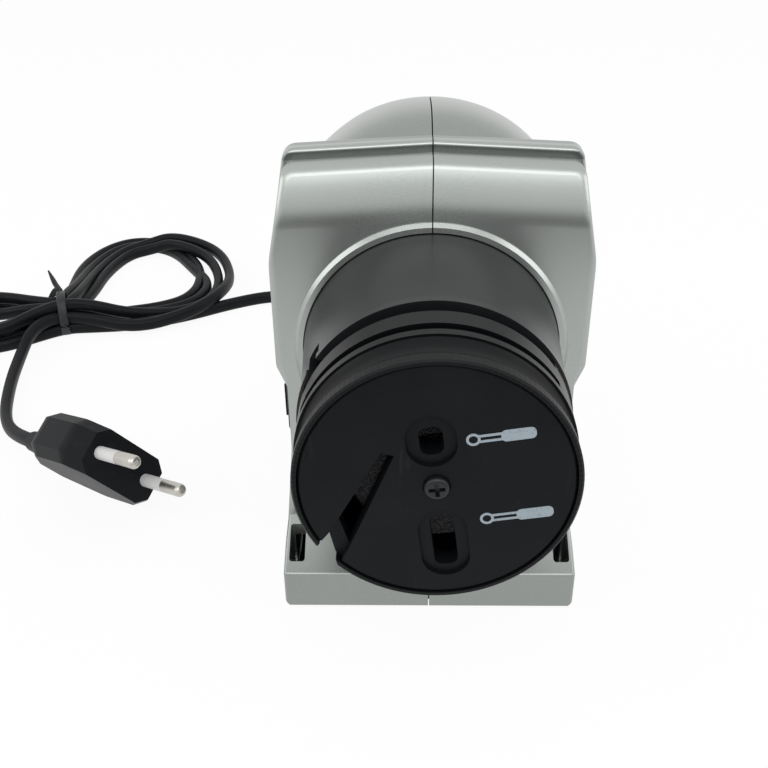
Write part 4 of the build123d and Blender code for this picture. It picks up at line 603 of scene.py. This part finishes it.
# ------------------------------------------------------------------ operators
class SHARPENER_OT_stage(Operator):
    """Make the camera, the lamps, the world and the floor"""

    bl_idname = "sharpener.stage"
    bl_label = "Stage"

    def execute(self, context):
        values = context.scene.sharpener_stage
        scene = context.scene
        scene.view_settings.view_transform = "Standard"
        camera = bpy.data.objects.new("camera", bpy.data.cameras.new("camera"))
        camera.data.lens = values.lens
        camera.data.sensor_width = 36
        camera.data.clip_start = 0.01
        camera.data.clip_end = 20
        camera.matrix_world = (
            Matrix.Translation(values.eye) @ Matrix.Rotation(values.look_left, 4, "Z")
            @ Matrix.Rotation(pi / 2 - values.look_down, 4, "X") @ Matrix.Rotation(values.roll, 4, "Z"))
        scene.collection.objects.link(camera)
        scene.camera = camera
        self.lamp(scene, "top_lamp", values.top_lamp, (1.0, 0.6), (0.0, -0.72, 0.88), (0.0, 0.0, 0.08))
        for name, side in (("left_lamp", -0.85), ("right_lamp", 0.85)):
            self.lamp(scene, name, values.side_lamps, (0.6, 0.6), (side, -0.25, 0.5), (0.0, 0.0, 0.06))
        self.world(scene, values.room_light)
        self.floor(scene, values)
        self.dark_card(scene)
        return {"FINISHED"}

    def lamp(self, scene, name, power, size, place, target):
        light = bpy.data.lights.new(name, "AREA")
        light.shape = "RECTANGLE"
        light.size, light.size_y = size
        light.energy = power
        lamp = bpy.data.objects.new(name, light)
        lamp.location = place
        lamp.rotation_euler = (Vector(place) - Vector(target)).to_track_quat("Z", "Y").to_euler()
        scene.collection.objects.link(lamp)

    def world(self, scene, room_light):
        """Even light, with plain white where the camera, gloss or glass looks at the room."""
        world = bpy.data.worlds.new("room")
        world.use_nodes = True
        tree = world.node_tree
        even = tree.nodes["Background"]
        even.inputs["Color"].default_value = (room_light, room_light, room_light, 1.0)
        white = add_node(tree, "ShaderNodeBackground", inputs={"Color": WHITE})
        mixed = add_node(tree, "ShaderNodeMixShader",
                         inputs={0: seen_by_camera(tree), 1: Signal(tree, even.outputs[0]), 2: white})
        tree.links.new(mixed.socket, tree.nodes["World Output"].inputs["Surface"])
        scene.world = world

    def floor(self, scene, values):
        """A wide pale floor that looks white to the camera and keeps the shadow."""
        mesh = bpy.data.meshes.new("floor")
        shape = bmesh.new()
        bmesh.ops.create_grid(shape, x_segments=2, y_segments=2, size=4.0)
        shape.to_mesh(mesh)
        shape.free()
        floor = bpy.data.objects.new("floor", mesh)
        scene.collection.objects.link(floor)
        finish = Finish("floor", {"Roughness": 1.0, "Specular IOR Level": 0.0})
        cloud = finish.noise(3, 2.0)
        finish.wear({"Base Color": finish.tint(cloud * 0.2, (*values.floor_colour, 1.0),
                                               shade(values.floor_colour, 0.97))})
        tree = finish.tree
        glow = finish.add("ShaderNodeEmission", inputs={"Color": WHITE, "Strength": FLOOR_GLOW})
        mixed = finish.add("ShaderNodeMixShader",
                           inputs={0: seen_by_camera(tree) * values.floor_white,
                                   1: Signal(tree, finish.shader.outputs[0]), 2: glow})
        tree.links.new(mixed.socket, tree.nodes["Material Output"].inputs["Surface"])
        mesh.materials.append(finish.material)
        return floor

    def dark_card(self, scene):
        """A black card flat on the table in front of the camera's view, which only gloss can see."""
        mesh = bpy.data.meshes.new("dark_card")
        shape = bmesh.new()
        bmesh.ops.create_grid(shape, x_segments=1, y_segments=1, size=CARD_HALF_WIDTH,
                              matrix=Matrix.Translation(CARD_CENTRE))
        shape.to_mesh(mesh)
        shape.free()
        card = bpy.data.objects.new("dark_card", mesh)
        card.visible_camera = False
        card.visible_diffuse = False
        card.visible_shadow = False
        scene.collection.objects.link(card)
        finish = Finish("dark_card", {"Base Color": (0.02, 0.02, 0.02, 1.0), "Specular IOR Level": 0.0})
        finish.wear({"Roughness": 0.8 + finish.noise(40) * 0.2})
        mesh.materials.append(finish.material)
        return card


def seen_by_camera(tree):
    """1 where a ray comes from the camera, from gloss or through glass."""
    camera, gloss, glass = [add_node(tree, "ShaderNodeLightPath", out=name)
                            for name in ("Is Camera Ray", "Is Glossy Ray", "Is Transmission Ray")]
    return camera.maths("MINIMUM", camera + gloss + glass, 1.0)


class SHARPENER_OT_cord(Operator):
    """Lay the mains cord through its hank to the plug, and close the tie round it"""

    bl_idname = "sharpener.cord"
    bl_label = "Mains cord"

    def execute(self, context):
        values = context.scene.sharpener_cord
        cord = ribbon_curve("mains_cord", values.cord_thickness, values.cord_width)
        nurbs_line(cord.data, cord_points())
        cord.data.materials.append(sheath("cord_sheath", values.sheath_colour))
        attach(cord, "body")
        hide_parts("power_cord", "cord_hank", "plug_lead")

        tie = self.tie(values)
        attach(tie, "body")
        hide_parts("twist_tie")

        boots = sheath("moulded_sheath", values.sheath_colour, 0.38)
        dress(boots, "cord_grip", "cord_tail", "plug_body")
        # the covered CAD nodes keep a finish too
        dress(cord.data.materials[0], "power_cord", "cord_hank", "plug_lead")
        dress(tie.data.materials[0], "twist_tie")
        return {"FINISHED"}

    def tie(self, values):
        """A coated wire band round the bundle, with its ends twisted and one sticking up."""
        tie = ribbon_curve("cord_tie", values.tie_thickness, values.tie_width)
        along = Vector((cos(TIE_ANGLE), sin(TIE_ANGLE), 0))
        across = Vector((-sin(TIE_ANGLE), cos(TIE_ANGLE), 0))
        centre = Vector((*TIE_CENTRE, 0))

        def place(side, height, forward=0.0):
            return tuple(centre + across * side / 1000 + along * forward / 1000
                         + Vector((0, 0, height / 1000)))

        nurbs_line(tie.data, [place(-9.4, 1.2, -0.5), place(-9.9, 5.0, -0.7), place(-9.6, 9.8, -0.6),
                              place(-6.6, 15.4, -0.1), place(-1.0, 16.3, 0.6), place(4.6, 14.6, 1.3),
                              place(9.5, 10.8, 1.9), place(9.9, 5.2, 1.9), place(9.4, 1.1, 1.6),
                              place(4.0, 0.5, 1.0), place(-4.0, 0.5, 0.2)], closed=True, tilt=pi / 2)
        for twist, tip in ((0.0, place(12.6, 21.5, -1.6)), (pi, place(14.2, 8.0, -3.6))):
            start = place(6.8, 13.3, 1.5)
            middle = place(9.6 + sin(twist), 14.2 + cos(twist), 0.2)
            tail = nurbs_line(tie.data, [start, middle, tuple((Vector(middle) + Vector(tip)) / 2), tip])
            for point, share in zip(tail.points, (1.0, 1.0, 0.8, 0.25)):
                point.radius = share
        tie.data.materials.append(
            moulded("tie_sheath", values.tie_colour, 0.4, (0.04, 0.042, 0.045, 1.0)))
        return tie


class SHARPENER_OT_housing(Operator):
    """Paint the two housing halves and finish the base, its feet and its screws"""

    bl_idname = "sharpener.housing"
    bl_label = "Housing"

    def execute(self, context):
        values = context.scene.sharpener_finishes
        dress(silver_paint("silver_paint", values.silver), "housing_left", "housing_right")
        dress(grained_black("base_black", values.disc_black, 0.5), "base_plate", "cord_clamp")
        dress(rubber("foot_rubber", (0.024, 0.024, 0.024)), "rubber_feet")
        dress(plated("zinc_steel", values.steel, 0.3), "base_screws", "housing_screws", "clamp_screws",
              "motor_screws", "motor_nuts")
        return {"FINISHED"}


class SHARPENER_OT_head(Operator):
    """Finish the collar, the guide head, its signs and the wheel behind it"""

    bl_idname = "sharpener.head"
    bl_label = "Guide head"

    def execute(self, context):
        values = context.scene.sharpener_finishes
        dress(satin_black("collar_black", values.satin_black), "collar")
        dress(sleeve_black("sleeve_black", shade(values.satin_black, 0.7)[:3], values.knurl_ribs),
              "guide_sleeve")
        dress(grained_black("disc_black", values.disc_black), "front_disc")
        dress(grained_black("plate_black", shade(values.disc_black, 0.7)[:3], 0.5), "guide_plate")
        dress(moulded("screw_black", (0.010, 0.011, 0.013), 0.32, specular=0.4), "head_screw")
        dress(printed_sign("sign_print", values.sign), "tool_signs")
        dress(bonded_grit("bonded_grit", values.grit), "grinding_wheel")
        return {"FINISHED"}


class SHARPENER_OT_switch(Operator):
    """Finish the rocker switch and its frame"""

    bl_idname = "sharpener.switch"
    bl_label = "Rocker switch"

    def execute(self, context):
        values = context.scene.sharpener_finishes
        dress(satin_black("rocker_black", values.satin_black, 0.26, 0.5), "rocker")
        dress(grained_black("frame_black", values.disc_black, 0.4, 0.35), "switch_frame")
        dress(plated("terminal_brass", values.brass, 0.3), "switch_terminals")
        return {"FINISHED"}


class SHARPENER_OT_motor(Operator):
    """Finish the motor, its bearings, its brushes and its fan"""

    bl_idname = "sharpener.motor"
    bl_label = "Motor"

    def execute(self, context):
        values = context.scene.sharpener_finishes
        dress(plated("ground_steel", values.steel, 0.18, turned=True), "motor_shaft", "wheel_nut",
              "front_bearing", "rear_bearing", "brush_springs")
        dress(plated("cast_aluminium", (0.55, 0.56, 0.57), 0.42), "rear_bracket", "wheel_hub")
        dress(laminated("core_sheets", (0.26, 0.27, 0.29)), "stator_core", "armature_core")
        dress(wound_copper("wound_copper", values.copper), "field_coils", "armature_windings")
        dress(barred_copper("barred_copper", (0.60, 0.33, 0.19)), "commutator")
        dress(plated("brush_brass", values.brass, 0.26), "brush_holders")
        dress(moulded("pressed_carbon", (0.035, 0.035, 0.037), 0.5), "carbon_brushes")
        dress(moulded("fan_nylon", (0.66, 0.64, 0.58), 0.38), "cooling_fan")
        return {"FINISHED"}


class SHARPENER_OT_wiring(Operator):
    """Finish the terminal block, the capacitor, the leads and the plug's pins"""

    bl_idname = "sharpener.wiring"
    bl_label = "Wiring and plug pins"

    def execute(self, context):
        values = context.scene.sharpener_finishes
        dress(moulded("block_nylon", (0.70, 0.69, 0.64), 0.36), "terminal_block")
        dress(plated("screw_brass", values.brass, 0.28), "block_screws")
        dress(moulded("capacitor_case", (0.60, 0.46, 0.07), 0.34), "capacitor")
        dress(moulded("lead_insulation", (0.05, 0.10, 0.36), 0.36), "lead_wires")
        dress(plated("pin_nickel", (0.55, 0.53, 0.49), 0.26, turned=True), "plug_pins")
        dress(moulded("sleeve_white", (0.80, 0.80, 0.79), 0.34, (0.74, 0.74, 0.73, 1.0)), "pin_sleeves")
        return {"FINISHED"}


OPERATORS = (SHARPENER_OT_stage, SHARPENER_OT_cord, SHARPENER_OT_housing, SHARPENER_OT_head,
             SHARPENER_OT_switch, SHARPENER_OT_motor, SHARPENER_OT_wiring)


class SHARPENER_PT_panel(Panel):
    """Lists the pieces in the 3D view's sidebar"""

    bl_idname = "SHARPENER_PT_panel"
    bl_label = "Sharpener"
    bl_space_type = "VIEW_3D"
    bl_region_type = "UI"
    bl_category = "Sharpener"

    def draw(self, context):
        layout = self.layout
        for operator in OPERATORS:
            layout.operator(operator.bl_idname)
        for group in (context.scene.sharpener_stage, context.scene.sharpener_cord,
                      context.scene.sharpener_finishes):
            for name in group.__annotations__:
                layout.prop(group, name)


GROUPS = {"sharpener_stage": SharpenerStage, "sharpener_cord": SharpenerCord,
          "sharpener_finishes": SharpenerFinishes}


def register():
    for item in (*GROUPS.values(), *OPERATORS, SHARPENER_PT_panel):
        bpy.utils.register_class(item)
    for name, group in GROUPS.items():
        setattr(bpy.types.Scene, name, PointerProperty(type=group))


def unregister():
    for name in GROUPS:
        delattr(bpy.types.Scene, name)
    for item in (SHARPENER_PT_panel, *reversed(OPERATORS), *reversed(GROUPS.values())):
        bpy.utils.unregister_class(item)


def main():
    """Register, and make every piece in order."""
    register()
    for operator in OPERATORS:
        group, name = operator.bl_idname.split(".")
        getattr(getattr(bpy.ops, group), name)()


if __name__ == "__main__":
    main()
